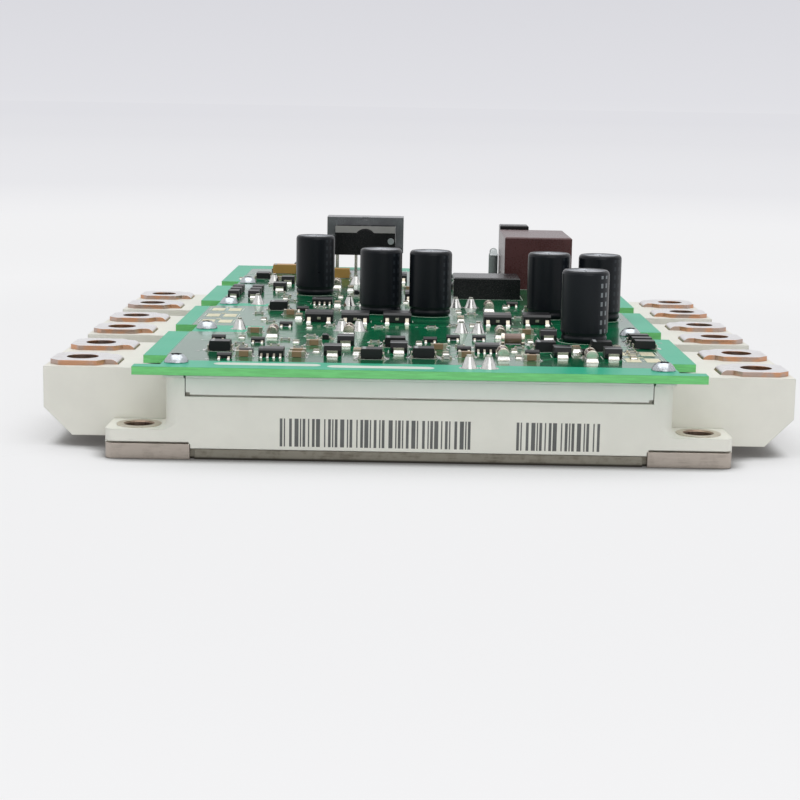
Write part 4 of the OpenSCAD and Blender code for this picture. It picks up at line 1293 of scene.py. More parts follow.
@dataclass
class SmallParts:
    """The small parts on the board, their pads and their solder, in millimetres.

    Attributes:
        wardrobe: Source of the materials.
        parts: The kinds of part.
        tab_shift: Distance from the middle of a part with a tab to the middle of its body.
        lead_tip: Distance from that middle to the tips of its leads.
        tab_tip: Distance from that middle to the end of its tab.
        tab_half: Half the width of the tab.
        tab_joint: How the tab is soldered.
        slope: Share of the run and of the rise along the hollow slope of solder.
        bite: Overlap of the solder with the contact.
        bands: Height of the bodies that carry a pole band, by node.
        band_ends: Start and end of that band behind the end of the part.
        dot_at: Place of the first-pin dot on a driver chip.
        dot_r: Radius of the dot.
        dot_sides: Number of its sides.
        dot_z: Heights of its lower and upper face.
        floor: Height of the board's upper face.
        seats: Where each part sits, by node.
        pads: Pads as low and high corners in plan.
    """

    wardrobe: Wardrobe
    parts: tuple[SmallPart, ...] = (
        SmallPart("driver_ics", PartKind.GULL, Finish.EPOXY, 1.95, (-1.905, -0.635, 0.635, 1.905), 0.42),
        SmallPart("small_transistors", PartKind.GULL, Finish.EPOXY, 0.7, (-0.95, 0.95), 0.45),
        SmallPart("power_transistors", PartKind.TAB, Finish.EPOXY, 3.0, (-2.29, 2.29), 0.8),
        SmallPart("moulded_diodes", PartKind.WRAP, Finish.EPOXY, 0.3, lead=2.17),
        SmallPart("gate_resistors", PartKind.WRAP, Finish.EPOXY, 0.3, lead=1.74),
        SmallPart("tantalum_capacitors", PartKind.WRAP, Finish.GOLDEN, 0.3, lead=2.6),
        SmallPart("glass_diodes", PartKind.GLASS, Finish.GLASS, 0.7, lead=2.4, metal=Finish.CAP),
        SmallPart("chip_resistors", PartKind.CHIP, Finish.RESISTOR, 0.4, lead=1.25),
        SmallPart("chip_capacitors", PartKind.CHIP, Finish.TAN, 0.64, lead=1.6))
    tab_shift: float = 0.5
    lead_tip: float = 5.2
    tab_tip: float = 4.2
    tab_half: float = 2.7
    tab_joint: Joint = Joint(inner=2.7, outer=0.8, run=0.7, margin=0.3, trim=0.3, rise=0.5)
    slope: tuple[Flat, ...] = ((0.0, 1.0), (0.22, 0.55), (0.5, 0.24), (0.8, 0.08), (1.0, 0.02))
    bite: float = 0.02
    bands: tuple[tuple[str, float], ...] = (("moulded_diodes", 2.1), ("tantalum_capacitors", 2.7))
    band_ends: Flat = (0.75, 1.45)
    dot_at: Flat = (-1.2, -1.9)
    dot_r: float = 0.3
    dot_sides: int = 14
    dot_z: Flat = (1.69, 1.708)
    floor: float = 0.0
    seats: dict[str, list[Seat]] = field(default_factory=dict)
    pads: list[tuple[Flat, Flat]] = field(default_factory=list)

    def seat(self, part: SmallPart, corners: list[Vector]) -> Seat:
        """Measure one part.

        Args:
            part: Its kind.
            corners: Its corners in millimetres.

        Returns:
            Where it sits.
        """
        low, high = span(corners)
        size, middle = high - low, (low + high) / 2
        axis = 1 if size.y > size.x else 0
        lean, crown_slack = 0.0, 0.02
        if part.kind is PartKind.TAB:
            crown = [c[axis] for c in corners if c.z > high.z - crown_slack]
            crest = (min(crown) + max(crown)) / 2
            lean = -1.0 if crest > middle[axis] else 1.0
            middle[axis] -= lean * self.tab_shift
        return Seat(middle.x, middle.y, axis == 1, max(size.x, size.y), min(size.x, size.y), size.z, lean)

    def is_metal(self, part: SmallPart, seat: Seat, corners: Iterable[Vector]) -> bool:
        """Tell metal faces from the body.

        Args:
            part: Kind of the part.
            seat: Where it sits.
            corners: Corners of the face in millimetres.

        Returns:
            True on a lead, tab, wrap or cap.
        """
        cap_slack, wrap_slack, lead_slack = 0.02, 0.05, 0.04
        along = [(c.y - seat.y if seat.lengthwise else c.x - seat.x) for c in corners]
        nearest, farthest = min(abs(a) for a in along), max(abs(a) for a in along)
        end = seat.length / 2 - part.reach
        if part.kind in (PartKind.CHIP, PartKind.GLASS):
            return nearest > end - cap_slack and min(along) * max(along) > 0
        if part.kind is PartKind.WRAP:
            return farthest > end + wrap_slack
        return farthest > part.reach + lead_slack

    def dress(self) -> None:
        """Put the body finish and the metal finish on every part."""
        self.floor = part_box("driver_board")[1].z / MM
        for part in self.parts:
            mesh = self.wardrobe.dress(part.node, part.body, part.metal)
            self.seats[part.node] = []
            for island in islands(mesh):
                seat = self.seat(part, corners_of(mesh, island))
                self.seats[part.node].append(seat)
                for polygon in island:
                    metal = self.is_metal(part, seat, corners_of(mesh, [polygon]))
                    polygon.material_index = int(metal)

    def contacts(self, part: SmallPart, seat: Seat) -> list[Contact]:
        """List the contacts of one part.

        Args:
            part: Its kind.
            seat: Where it sits.

        Returns:
            Its leads, tab, wraps or caps.
        """
        half, joint = part.lead / 2, part.kind.value
        if part.kind is not PartKind.TAB:
            end = seat.length / 2
            return [Contact(side * end, lead, half, joint) for lead in part.leads for side in (-1, 1)]
        leads = [Contact(seat.lean * self.lead_tip, lead, half, joint) for lead in part.leads]
        return [*leads, Contact(-seat.lean * self.tab_tip, 0.0, self.tab_half, self.tab_joint)]

    def pad(self, shape: Shape, part: SmallPart, seat: Seat, contact: Contact) -> None:
        """Add one tinned pad and keep its place.

        Args:
            shape: Shape that takes it.
            part: Kind of the part that it carries.
            seat: Where the part sits.
            contact: Contact that it carries.
        """
        joint, side = contact.joint, math.copysign(1.0, contact.tip)
        inner = contact.tip - side * (joint.inner + joint.cover * part.reach)
        outer = contact.tip + side * joint.outer
        outline = seat.patch(min(inner, outer), max(inner, outer), *contact.sides())
        shape.plate(outline, self.floor, self.floor + PAD_T)
        xs, ys = zip(*outline)
        self.pads.append(((min(xs), min(ys)), (max(xs), max(ys))))

    def fillet(self, shape: Shape, seat: Seat, contact: Contact) -> None:
        """Add a hollow slope of solder in front of a contact.

        Args:
            shape: Shape that takes it.
            seat: Where the part sits.
            contact: Contact that it holds.
        """
        base, foot = self.floor + 0.01, self.floor + 0.03
        widest_inset, inset_share = 0.18, 0.12
        joint, side = contact.joint, math.copysign(1.0, contact.tip)
        c0, c1 = contact.sides()
        c0, c1 = c0 + joint.trim, c1 - joint.trim
        inset = min(widest_inset, (c1 - c0) * inset_share)
        rise = joint.rise + joint.climb * seat.height
        rows = []
        for share, lift in self.slope:
            a = contact.tip - side * self.bite + side * joint.run * share
            pull = inset * (1 - lift)
            rows.append((seat.at(a, c0 + inset - pull), seat.at(a, c1 - inset + pull), foot + rise * lift))
        for (l0, r0, z0), (l1, r1, z1) in zip(rows, rows[1:]):
            low = [(*l0, base), (*l1, base), (*r1, base), (*r0, base)]
            high = [(*l0, z0), (*l1, z1), (*r1, z1), (*r0, z0)]
            if side_of(l0, l1, r0) < 0:
                low, high = low[::-1], high[::-1]
            shape.prism(low, high, True)

    def solder(self) -> bpy.types.Object:
        """Build the pads and the solder of every part.

        Returns:
            The piece with all joints.
        """
        shape = Shape()
        for part in self.parts:
            for seat in self.seats[part.node]:
                for contact in self.contacts(part, seat):
                    self.pad(shape, part, seat, contact)
                    self.fillet(shape, seat, contact)
        return shape.build("solder_joints", "solder", self.wardrobe.get(Finish.SOLDER))

    def marks(self) -> bpy.types.Object:
        """Build the pole bands and first-pin dots on the bodies.

        Returns:
            The piece with all marks.
        """
        shape = Shape()
        side_gap, sink, proud = 0.02, 0.005, 0.012
        for node, top in self.bands:
            for seat in self.seats[node]:
                half, wide = seat.length / 2, seat.width / 2 - side_gap
                outline = seat.patch(self.band_ends[0] - half, self.band_ends[1] - half, -wide, wide)
                shape.plate(outline, self.floor + top - sink, self.floor + top + proud)
        dot = [(self.dot_r, self.floor + z) for z in self.dot_z]
        for seat in self.seats["driver_ics"]:
            shape.turned(seat.at(*self.dot_at), dot, self.dot_sides)
        return shape.build("body_marks", "chip_epoxy", self.wardrobe.get(Finish.GREY))


@dataclass
class PowerModule:
    """The base plate, housing, terminals and the inside of the module, in millimetres.

    Attributes:
        wardrobe: Source of the materials.
        fields: Start and end of the two bar fields across the end wall.
        low: Lower end of the bars.
        high: Upper end of the bars.
        step: Width of the thinnest bar.
        bar_steps: Widths of the bars in steps, over and over.
        gap_steps: Widths of the gaps in steps, over and over.
        ink: Height of the print before the wall and its depth in it.
        relief: Least and greatest depth by which the plate is set back between its ears.
        body: Half the width of the closed body.
        lip: Height of the lips at the ends of the lid and the body.
        lip_t: Thickness of the lips.
        seam: Gap between the lips.
    """

    wardrobe: Wardrobe
    fields: tuple[Flat, ...] = ((-26.9, 11.0), (18.9, 35.4))
    low: float = 2.9
    high: float = 8.4
    step: float = 0.26
    bar_steps: tuple[int, ...] = (2, 1, 2, 3, 1)
    gap_steps: tuple[int, ...] = (1, 3, 2, 1, 1, 2, 2)
    ink: Flat = (0.012, 0.01)
    relief: Flat = (0.1, 1.3)
    body: float = 49.5
    lip: float = 0.45
    lip_t: float = 0.585
    seam: float = 0.4

    def dress(self) -> None:
        """Put the finishes on the module's own nodes."""
        finishes = {
            "housing_frame": Finish.HOUSING, "terminal_blocks_left": Finish.HOUSING,
            "terminal_blocks_right": Finish.HOUSING, "lid": Finish.LID,
            "igbt_chips": Finish.SILICON, "diode_chips": Finish.SILICON, "bond_ribbons": Finish.ALUMINIUM,
            "thermistor": Finish.RESISTOR, "gel_filling": Finish.GEL, "signal_pins": Finish.PIN,
            "terminal_nuts": Finish.NUT}
        finishes |= {f"substrate_{number}": Finish.SUBSTRATE for number in range(1, 4)}
        finishes |= {f"terminal_{side}_{number}": Finish.TERMINAL
                     for side in ("left", "right") for number in range(1, 7)}
        for node, finish in finishes.items():
            self.wardrobe.dress(node, finish)
        # The bore and chamfer of each bush take the darker metal: painted shade in the hole.
        shade_hollows(self.wardrobe.dress("mounting_bushes", Finish.BUSH, Finish.BORE_SHADE))
        # The set-back edge faces between the ears take the darker copy of the plate: painted shade.
        plate = self.wardrobe.dress("base_plate", Finish.PLATE, Finish.SHEARED_SHADE)
        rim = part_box("base_plate")[1].y / MM
        least, most = self.relief
        least_upright = 0.9
        for polygon in plate.polygons:
            behind = [rim - abs(corner.y) for corner in corners_of(plate, [polygon])]
            upright = abs(polygon.normal.y) > least_upright
            polygon.material_index = int(upright and min(behind) > least and max(behind) < most)

    def lips(self) -> list[bpy.types.Object]:
        """Build the low lips that the lid and the body carry at both ends.

        Returns:
            The pieces on the lid and on the body.
        """
        low, high = box_of("lid")
        lid, body = Shape(), Shape()
        for y0, y1 in ((low.y, low.y + self.lip_t), (high.y - self.lip_t, high.y)):
            lid.block((low.x, y0, high.z), (high.x, y1, high.z + self.lip))
            for x0, x1 in ((-self.body, low.x - self.seam), (high.x + self.seam, self.body)):
                body.block((x0, y0, high.z), (x1, y1, high.z + self.lip))
        return [lid.build("lid_lips", "lid_plastic", self.wardrobe.get(Finish.LID)),
                body.build("body_lips", "housing_plastic", self.wardrobe.get(Finish.HOUSING))]

    def bars(self) -> bpy.types.Object:
        """Build the two fields of plain upright bars on the end wall.

        Returns:
            The piece with all bars.
        """
        shape = Shape()
        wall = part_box("housing_frame")[0].y / MM
        front, back = wall - self.ink[0], wall + self.ink[1]
        widest = max(self.bar_steps) * self.step
        for place, end in self.fields:
            for bar, gap in zip(itertools.cycle(self.bar_steps), itertools.cycle(self.gap_steps)):
                if place >= end - widest:
                    break
                width = self.step * bar
                shape.block((place, front, self.low), (place + width, back, self.high))
                place += width + self.step * gap
        return shape.build("wall_bars", "housing_plastic", self.wardrobe.get(Finish.BAR))


@dataclass
class DriverBoard:
    """The board with its tracks, print, screws and pin joints, in millimetres.

    Attributes:
        wardrobe: Source of the materials.
        parts: The small parts that stand on it.
        socket: Radius of the sockets in the board screws.
        seed: Start of the track routing.
        clear: Least distance between a track and a pad that it does not join.
        rank: Range of the neighbours, by distance, to which a pad may be joined.
        stretch: Least and greatest distance of such a neighbour.
        tries: Greatest number of neighbours tried for a pad.
        hop: Distance from a pad to the hole in which its track may end.
        hole_gap: Least distance between two such holes.
        widths: Widths of the tracks.
        copper: Least height of a track and the range above it, so that tracks that touch differ.
        via: Outer and inner radius of the ring round a hole.
        via_sides: Number of its sides.
        collar: Outer and inner radius of the ring round a signal pin.
        collar_sides: Number of its sides.
        spare: Middles of the pad pairs that carry no part.
        spare_at: Distance of each pad of a pair from the middle.
        spare_half: Half the sizes of such a pad.
        spare_frame: Half the sizes of the printed frame round a pair.
        probe: Outer and inner radius of the test ring behind a pair.
        probe_at: Distance of that ring from the middle.
        strips: Start, end and middle of the printed strips near the front edge.
        strip_r: Half the width of these strips.
        strip_sides: Number of sides of their round ends.
        line: Width of a printed line.
        dashes: Half the length of the lines printed beside a part, and their distance from it, by node.
        can_ring: Distances of the outer and inner side of the printed ring from a round capacitor.
        can_sides: Number of sides of that ring.
        frames: Distances across and along of the printed frame from a tall part, by node.
        bead: Radius and height of the solder round a wire under the board.
        bead_sides: Number of its sides.
    """

    wardrobe: Wardrobe
    parts: SmallParts
    socket: float = 1.0
    seed: int = 11
    clear: float = 0.3
    rank: tuple[int, int] = (3, 14)
    stretch: Flat = (2.5, 16.0)
    tries: int = 3
    hop: float = 2.4
    hole_gap: float = 1.2
    widths: tuple[float, ...] = (0.25, 0.3, 0.45)
    copper: Flat = (0.010, 0.012)
    via: Flat = (0.42, 0.16)
    via_sides: int = 16
    collar: Flat = (2.0, 0.7)
    collar_sides: int = 28
    spare: tuple[Flat, ...] = ((-46.5, 12.0), (-46.5, 0.0), (-46.5, -11.5), (45.0, -55.0), (45.0, -64.5))
    spare_at: float = 2.0
    spare_half: Flat = (1.5, 2.6)
    spare_frame: Flat = (4.0, 3.1)
    probe: Flat = (0.6, 0.25)
    probe_at: float = 4.0
    strips: tuple[Point, ...] = ((-38.4, -20.7, -79.0), (-16.4, 1.3, -80.2))
    strip_r: float = 1.5
    strip_sides: int = 24
    line: float = 0.18
    dashes: tuple[tuple[str, float, float], ...] = (
        ("driver_ics", 1.6, 0.45), ("power_transistors", 1.6, 0.45),
        ("moulded_diodes", 2.3, 0.4), ("tantalum_capacitors", 2.3, 0.4))
    can_ring: Flat = (0.7, 0.5)
    can_sides: int = 48
    frames: tuple[tuple[str, float, float], ...] = (
        ("film_capacitor", 0.25, 0.25), ("coupler_block", 0.6, 0.6),
        ("rear_capacitor", 0.5, 0.5), ("core_lower", 1.0, 2.5))
    bead: tuple[Flat, ...] = ((0.34, -0.5), (0.5, -0.3), (0.95, -0.05), (1.0, 0.0))
    bead_sides: int = 18

    def dress(self) -> None:
        """Put the finishes on the board, its screws and its joints."""
        self.wardrobe.dress("driver_board", Finish.BOARD)
        # The sockets of the board screws take the darker metal: painted shade in the recess.
        shade_hollows(self.wardrobe.dress("board_screws", Finish.SCREW, Finish.SOCKET_SHADE), self.socket)
        self.wardrobe.dress("solder_cones", Finish.SOLDER)

    def blocked(self, a: Flat, b: Flat, own: set[int], lines: list[tuple[Flat, Flat]]) -> bool:
        """Tell whether a straight track would meet a pad or another track.

        Args:
            a: Start of the track.
            b: End of the track.
            own: Numbers of the pads that it may touch.
            lines: Tracks laid so far.

        Returns:
            True if it meets something.
        """
        clear = self.clear
        steps = max(2, int(math.dist(a, b) / clear))
        for k in range(steps + 1):
            x, y = a[0] + (b[0] - a[0]) * k / steps, a[1] + (b[1] - a[1]) * k / steps
            for number, (low, high) in enumerate(self.parts.pads):
                if number in own or not low[0] - clear < x < high[0] + clear:
                    continue
                if low[1] - clear < y < high[1] + clear:
                    return True
        return any(side_of(a, b, c) * side_of(a, b, d) < 0 and side_of(c, d, a) * side_of(c, d, b) < 0
                   for c, d in lines)

    def bend(self, a: Flat, b: Flat) -> Flat:
        """Find the corner of a track that leaves straight and arrives at 45 degrees.

        Args:
            a: Start of the track.
            b: End of the track.

        Returns:
            Its corner.
        """
        dx, dy = b[0] - a[0], b[1] - a[1]
        if abs(dx) > abs(dy):
            return b[0] - math.copysign(abs(dy), dx), a[1]
        return a[0], b[1] - math.copysign(abs(dx), dy)

    def tracks(self) -> tuple[bpy.types.Object, list[Flat]]:
        """Lay tracks between pads that lie near each other.

        Returns:
            The piece with all tracks, and the places where tracks end in a hole.
        """
        rng = random.Random(self.seed)
        shape, top, shortest = Shape(), self.parts.floor, 0.05
        lines: list[tuple[Flat, Flat]] = []
        holes: list[Flat] = []
        middles = [((low[0] + high[0]) / 2, (low[1] + high[1]) / 2) for low, high in self.parts.pads]
        for number, a in enumerate(middles):
            near = sorted((math.dist(a, b), k) for k, b in enumerate(middles) if k != number)
            targets = [(middles[k], {number, k}) for gap, k in near[slice(*self.rank)]
                       if self.stretch[0] < gap < self.stretch[1]]
            rng.shuffle(targets)
            turn = rng.uniform(0, 2 * math.pi)
            hole = (a[0] + self.hop * math.cos(turn), a[1] + self.hop * math.sin(turn))
            laid = False
            for b, own in [*targets[:self.tries], (hole, {number})]:
                bend = self.bend(a, b)
                if self.blocked(a, bend, own, lines) or self.blocked(bend, b, own, lines):
                    continue
                if b is hole:
                    if laid or any(math.dist(hole, other) < self.hole_gap for other in holes):
                        continue
                    holes.append(hole)
                laid = True
                width = rng.choice(self.widths)
                lift = top + self.copper[0] + self.copper[1] * rng.random()
                path = [a, bend, b] if math.dist(a, bend) > shortest else [a, b]
                shape.strip(path, width, top, lift)
                lines += [(a, bend), (bend, b)]
        return shape.build("copper_tracks", "board_green", self.wardrobe.get(Finish.TRACE)), holes

    def vias(self, holes: Sequence[Flat]) -> bpy.types.Object:
        """Build tinned rings where tracks and pins go through the board.

        Args:
            holes: Places where tracks end in a hole.

        Returns:
            The piece with all rings.
        """
        shape, top = Shape(), self.parts.floor
        for hole in holes:
            shape.ring(hole, self.via, top, top + VIA_T, self.via_sides)
        for corners in solids("solder_cones"):
            shape.ring(middle_of(corners), self.collar, top, top + COLLAR_T, self.collar_sides)
        return shape.build("plated_rings", "solder", self.wardrobe.get(Finish.SOLDER))

    def bare_pads(self) -> bpy.types.Object:
        """Build the tinned pads that carry no part.

        Returns:
            The piece with all such pads.
        """
        shape, top = Shape(), self.parts.floor
        wide, deep = self.spare_half
        for x, y in self.spare:
            for middle in (x - self.spare_at, x + self.spare_at):
                shape.block((middle - wide, y - deep, top), (middle + wide, y + deep, top + PAD_T))
            shape.ring((x, y + self.probe_at), self.probe, top, top + VIA_T, self.via_sides)
        return shape.build("bare_pads", "solder", self.wardrobe.get(Finish.SPARE))

    def outline(self, shape: Shape, low: Flat, high: Flat) -> None:
        """Add a printed rectangle.

        Args:
            shape: Shape that takes it.
            low: Low corner in plan.
            high: High corner in plan.
        """
        half, z0, z1 = self.line / 2, self.parts.floor, self.parts.floor + PRINT_T
        for y in (low[1], high[1]):
            shape.block((low[0], y - half, z0), (high[0], y + half, z1))
        for x in (low[0], high[0]):
            shape.block((x - half, low[1], z0), (x + half, high[1], z1))

    def legend(self) -> bpy.types.Object:
        """Build the white outlines and strips printed on the board.

        Returns:
            The piece with all print.
        """
        shape, top, line = Shape(), self.parts.floor, self.line / 2
        for start, end, y in self.strips:
            shape.strip([(start, y), (end, y)], 2 * self.strip_r, top, top + PRINT_T)
            for x in (start, end):
                shape.turned((x, y), [(self.strip_r, top), (self.strip_r, top + ROUND_T)], self.strip_sides)
        for node, half, room in self.dashes:
            for seat in self.parts.seats[node]:
                wide = seat.width / 2 + room
                for side in (-wide, wide):
                    shape.plate(seat.patch(-half, half, side - line, side + line), top, top + DASH_T)
        for number in CANS:
            corners = box_of(f"capacitor_{number}")
            radius = (corners[1].x - corners[0].x) / 2
            outer, inner = (radius + room for room in self.can_ring)
            shape.ring(middle_of(corners), (outer, inner), top, top + PRINT_T, self.can_sides)
        for node, across, along in self.frames:
            low, high = box_of(node)
            self.outline(shape, (low.x - across, low.y - along), (high.x + across, high.y + along))
        wide, deep = self.spare_frame
        for x, y in self.spare:
            self.outline(shape, (x - wide, y - deep), (x + wide, y + deep))
        return shape.build("board_print", "board_green", self.wardrobe.get(Finish.INK))

    def ends(self) -> bpy.types.Object:
        """Build the solder round the wires on the underside of the board.

        Returns:
            The piece with all lower joints.
        """
        shape = Shape()
        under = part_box("driver_board")[0].z / MM
        profile = [(radius, under + height) for radius, height in self.bead]
        for corners in [*solids("transformer_pins"), *solids("header_contacts")]:
            x, y = (sum(corner[k] for corner in corners) / len(corners) for k in range(2))
            shape.turned((x, y), profile, self.bead_sides)
        return shape.build("lower_joints", "solder", self.wardrobe.get(Finish.SOLDER))


@dataclass
class TallParts:
    """The round capacitors, box parts, transformer, lamp and header, in millimetres.

    Attributes:
        wardrobe: Source of the materials.
        boss: Radius of the round boss on the transformer's face.
        boss_at: Height of its middle.
        boss_t: Its height before the face.
        stud: Radius of the small stud beside it.
        stud_at: Distance of the stud from the edge of the face, and its distance below the boss's middle.
        stud_t: Its height before the face.
        tape: Height of the tape over the boss.
        tape_gap: Distance of the tape from the boss and from the top of the face.
        tape_t: Thickness of the tape.
        sink: Depth of all three in the face.
        cheek_in: Distance of the edge of the face from the foot of the bobbin.
    """

    wardrobe: Wardrobe
    boss: float = 3.1
    boss_at: float = 28.7
    boss_t: float = 0.3
    stud: float = 0.95
    stud_at: Flat = (1.2, 0.3)
    stud_t: float = 0.4
    tape: float = 2.0
    tape_gap: Flat = (0.25, 0.1)
    tape_t: float = 0.08
    sink: float = 0.01
    cheek_in: float = 2.0

    def slab(self, rim: Sequence[Flat], wall: float, proud: float, rounded: bool = False) -> Shape:
        """Make a flat piece on a face that looks to the front.

        Args:
            rim: Its outline across and up.
            wall: Place of the face along Y.
            proud: Height of the piece before the face.
            rounded: Whether its sides are shaded smooth.

        Returns:
            Its shape.
        """
        shape, back, front = Shape(), wall + self.sink, wall - proud
        shape.prism([(x, back, z) for x, z in rim], [(x, front, z) for x, z in rim], rounded)
        return shape

    def disc(self, middle: Flat, radius: float, wall: float, proud: float) -> Shape:
        """Make a round flat piece on a face that looks to the front.

        Args:
            middle: Its middle across and up.
            radius: Its radius.
            wall: Place of the face along Y.
            proud: Height of the piece before the face.

        Returns:
            Its shape.
        """
        steps = 28
        turns = [2 * math.pi * k / steps for k in range(steps)]
        rim = [(middle[0] + radius * math.cos(t), middle[1] + radius * math.sin(t)) for t in turns]
        return self.slab(rim, wall, proud, True)

    def face(self) -> None:
        """Build the boss, the stud and the tape on the transformer's face."""
        low, high = box_of("transformer_bobbin")
        left, right = low.x + self.cheek_in, high.x - self.cheek_in
        middle, top, steps = (left + right) / 2, high.z - self.tape_gap[1], 16
        boss = self.disc((middle, self.boss_at), self.boss, low.y, self.boss_t)
        stud_at = (right - self.stud_at[0], self.boss_at - self.stud_at[1])
        stud = self.disc(stud_at, self.stud, low.y, self.stud_t)
        reach, foot = self.boss + self.tape_gap[0], top - self.tape
        spread = math.sqrt(max(0.0, reach ** 2 - (foot - self.boss_at) ** 2))
        begin = math.atan2(foot - self.boss_at, spread)
        arch = [begin + (math.pi - 2 * begin) * k / steps for k in range(steps + 1)]
        curve = [(middle - reach * math.cos(t), self.boss_at + reach * math.sin(t)) for t in arch]
        tape = self.slab([(left, foot), *curve, (right, foot), (right, top), (left, top)], low.y, self.tape_t)
        boss.build("transformer_boss", "black_plastic", self.wardrobe.get(Finish.BLACK))
        stud.build("transformer_stud", "grey_plastic", self.wardrobe.get(Finish.GREY))
        tape.build("transformer_tape", "winding_tape", self.wardrobe.get(Finish.LABEL))

    def dress(self) -> None:
        """Put the finishes on the tall parts."""
        finishes = {f"capacitor_{number}": Finish.SLEEVE for number in CANS}
        finishes |= {
            "capacitor_6": Finish.PRINTED, "film_capacitor": Finish.BROWN, "rear_capacitor": Finish.BLACK,
            "coupler_block": Finish.BLACK, "indicator_spacer": Finish.GREY, "indicator_lens": Finish.LENS,
            "core_upper": Finish.FERRITE, "core_lower": Finish.FERRITE, "core_rod": Finish.FERRITE,
            "transformer_bobbin": Finish.BLACK, "transformer_winding": Finish.TAPE,
            "transformer_pins": Finish.PIN, "signal_header": Finish.BLACK, "header_contacts": Finish.GOLD}
        for node, finish in finishes.items():
            self.wardrobe.dress(node, finish)


@dataclass(frozen=True)
class Lamp:
    """One soft square lamp.

    Attributes:
        name: Name of the lamp.
        place: Where it stands, in metres.
        aim: Where it points.
        size: Edge length in metres.
        power: Power in watts.
    """

    name: str
    place: Point
    aim: Point
    size: float
    power: float

    def build(self) -> None:
        """Put the lamp in the scene."""
        data = bpy.data.lights.new(self.name, "AREA")
        data.shape, data.size, data.energy = "SQUARE", self.size, self.power
        lamp = bpy.data.objects.new(self.name, data)
        lamp.location = self.place
        lamp.rotation_euler = (Vector(self.aim) - Vector(self.place)).to_track_quat("-Z", "Y").to_euler()
        bpy.context.scene.collection.objects.link(lamp)


@dataclass(frozen=True)
class FloorShade:
    """One shade on the floor, close to the part.

    Attributes:
        reach: Distance of the search for the part, in millimetres.
        free: Open share at which the shade begins.
        deep: Open share at which it is full.
        tone: Its colour.
    """

    reach: float
    free: float
    deep: float
    tone: Colour


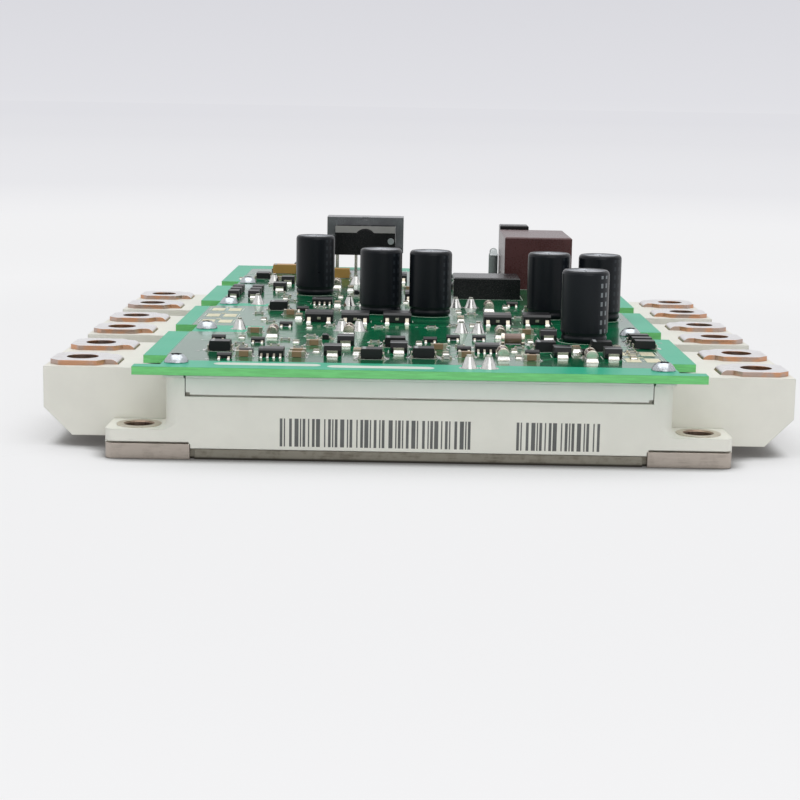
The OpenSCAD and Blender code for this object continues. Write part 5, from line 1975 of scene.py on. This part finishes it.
@dataclass
class Studio:
    """The camera, floor, lamps and background.

    Attributes:
        spot: Place of the camera in metres.
        yaw: Turn of the camera about the upright axis.
        pitch: Downward tilt.
        roll: Turn about the line of sight.
        lens: Focal length in millimetres.
        sensor: Width of the sensor in millimetres.
        clip: Nearest and farthest distance that the camera sees, in metres.
        lamps: The lamps.
        fill: Strength of the even light.
        floor_half: Half the edge of the floor in metres.
        floor_far: Distance of the last tone of the floor.
        floor_lit: Colour of the floor where the lamps light it.
        floor_rough: Roughness of the floor.
        floor_fixed: Share of the fixed tones close to the part.
        floor_fade: Range of the distance over which that share grows to one.
        floor_tones: Fixed tones of the floor by distance.
        shades: Shades on the floor, the wider one first.
        horizon: Depth of the first tone of the sky under the horizon.
        sky_tones: Tones of the sky by height.
        room: Tone of the sky on the camera's side.
        room_back: Range over which that tone begins towards the camera.
        room_high: Range over which it ends upwards.
    """

    spot: Point = (-0.0028488, -0.42017, 0.0687185)
    yaw: float = 0.0026
    pitch: float = 0.1645
    roll: float = -0.0171
    lens: float = 80.2166
    sensor: float = 36.0
    clip: Flat = (0.01, 50.0)
    lamps: tuple[Lamp, ...] = (
        Lamp("overhead", place=(0.0, -0.05, 0.75), aim=(0.0, 0.0, 0.0), size=1.0, power=4.3),
        Lamp("front", place=(0.2, -0.8, 0.4), aim=(0.0, -0.05, 0.0), size=0.6, power=1.25))
    fill: float = 0.42
    floor_half: float = 40.0
    floor_far: float = 8.0
    floor_lit: Colour = (0.86, 0.86, 0.87)
    floor_rough: float = 0.75
    floor_fixed: float = 0.8
    floor_fade: Flat = (0.04, 0.09)
    floor_tones: Stops = (
        (0.025, (0.885, 0.885, 0.895)), (0.0375, (0.93, 0.93, 0.94)), (0.069, (0.9, 0.9, 0.91)),
        (0.137, (0.81, 0.81, 0.835)), (0.4, (0.765, 0.765, 0.795)), (1.0, (0.745, 0.745, 0.78)))
    shades: tuple[FloorShade, ...] = (
        FloorShade(reach=30.0, free=0.95, deep=0.1, tone=(0.42, 0.42, 0.41)),
        FloorShade(reach=6.0, free=0.88, deep=0.5, tone=(0.1, 0.095, 0.09)))
    horizon: float = 0.045
    sky_tones: Stops = (
        (0.0, (0.9, 0.9, 0.91)), (0.045, (0.75, 0.75, 0.785)), (0.11, (0.69, 0.69, 0.73)),
        (0.2, (0.86, 0.86, 0.88)), (0.5, (0.95, 0.95, 0.96)), (1.0, (0.97, 0.97, 0.97)))
    room: Colour = (0.13, 0.13, 0.14)
    room_back: Flat = (-0.25, -0.8)
    room_high: Flat = (0.6, 0.25)

    def camera(self) -> None:
        """Set up the camera of the photograph."""
        turn = Matrix.Rotation(self.yaw, 3, "Z")
        ahead = turn @ Vector((0, math.cos(self.pitch), -math.sin(self.pitch)))
        right = turn @ Vector((1, 0, 0))
        down = ahead.cross(right)
        across = math.cos(self.roll) * right + math.sin(self.roll) * down
        below = -math.sin(self.roll) * right + math.cos(self.roll) * down
        data = bpy.data.cameras.new("camera")
        data.lens, data.sensor_width, data.sensor_fit = self.lens, self.sensor, "HORIZONTAL"
        data.clip_start, data.clip_end = self.clip
        camera = bpy.data.objects.new("camera", data)
        basis = Matrix((across, -below, -ahead)).transposed().to_4x4()
        camera.matrix_world = Matrix.Translation(self.spot) @ basis
        bpy.context.scene.collection.objects.link(camera)
        bpy.context.scene.camera = camera

    def floor(self) -> None:
        """Add the pale floor that keeps the shadow."""
        half, under_part = self.floor_half, -0.0001
        corners = [(-half, -half, 0), (half, -half, 0), (half, half, 0), (-half, half, 0)]
        mesh = bpy.data.meshes.new("floor")
        mesh.from_pydata(corners, [], [(0, 1, 2, 3)])
        floor = bpy.data.objects.new("floor", mesh)
        floor.location.z = under_part
        bpy.context.scene.collection.objects.link(floor)
        p = Skin("floor")
        x, y = p.along("X"), p.along("Y")
        away = (x * x + y * y).root() / self.floor_far
        p.put("Base Color", self.floor_lit)
        p.put("Roughness", self.floor_rough)
        pale = p.add("ShaderNodeValToRGB", {"stops": self.floor_tones}, {0: away})
        for item in self.shades:
            pale = p.blend(p.shut(item.reach, item.free, item.deep), pale, item.tone)
        white = p.add("ShaderNodeEmission", values={"Color": pale, "Strength": 1.0})
        fixed = self.floor_fixed + (1 - self.floor_fixed) * p.ramp(away, *self.floor_fade)
        lit = Sock(p, p.shader.outputs[0])
        mixed = p.add("ShaderNodeMixShader", values={0: self.seen(p) * fixed, 1: lit, 2: white})
        p.join(p.output.inputs[0], mixed)
        mesh.materials.append(p.material)

    def seen(self, paint: Paint) -> Sock:
        """Give 1 for rays that show the background, else 0.

        Args:
            paint: Paint in whose tree the node lies.

        Returns:
            The share of such rays.
        """
        kinds = ("Camera", "Glossy", "Transmission")
        rays = [paint.add("ShaderNodeLightPath", out=f"Is {kind} Ray") for kind in kinds]
        return functools.reduce(Sock.peak, rays)

    def world(self) -> None:
        """Light the room evenly and show a pale background, darker on the camera's side."""
        world = bpy.data.worlds.new("studio")
        bpy.context.scene.world = world
        world.use_nodes = True
        p = Paint(world.node_tree)
        high, ahead = p.along("Z", "Generated"), p.along("Y", "Generated")
        level = (high + self.horizon) / (1 + self.horizon)
        sky = p.add("ShaderNodeValToRGB", {"stops": self.sky_tones}, {0: level})
        behind = p.ramp(ahead, *self.room_back) * p.ramp(high, *self.room_high)
        tint = p.blend(behind, sky, self.room)
        shown = p.add("ShaderNodeBackground", values={"Color": tint, "Strength": 1.0})
        light = p.add("ShaderNodeBackground", values={"Color": EVEN, "Strength": self.fill})
        mixed = p.add("ShaderNodeMixShader", values={0: self.seen(p), 1: light, 2: shown})
        p.node("ShaderNodeOutputWorld", values={0: mixed})

    def build(self) -> None:
        """Set up the camera, the floor, the background and the lamps."""
        self.camera()
        self.floor()
        self.world()
        for lamp in self.lamps:
            lamp.build()
        bpy.context.scene.view_settings.view_transform = "Standard"


def main() -> None:
    """Build and dress every piece."""
    logging.basicConfig(level=logging.INFO, format="%(name)s: %(message)s")
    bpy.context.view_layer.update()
    Studio().build()
    wardrobe = Wardrobe()
    module = PowerModule(wardrobe)
    module.dress()
    module.lips()
    module.bars()
    small = SmallParts(wardrobe)
    small.dress()
    small.solder()
    small.marks()
    board = DriverBoard(wardrobe, small)
    board.dress()
    _, holes = board.tracks()
    board.vias(holes)
    board.bare_pads()
    board.legend()
    board.ends()
    tall = TallParts(wardrobe)
    tall.dress()
    tall.face()
    bpy.context.view_layer.update()


if __name__ == "__main__":
    main()
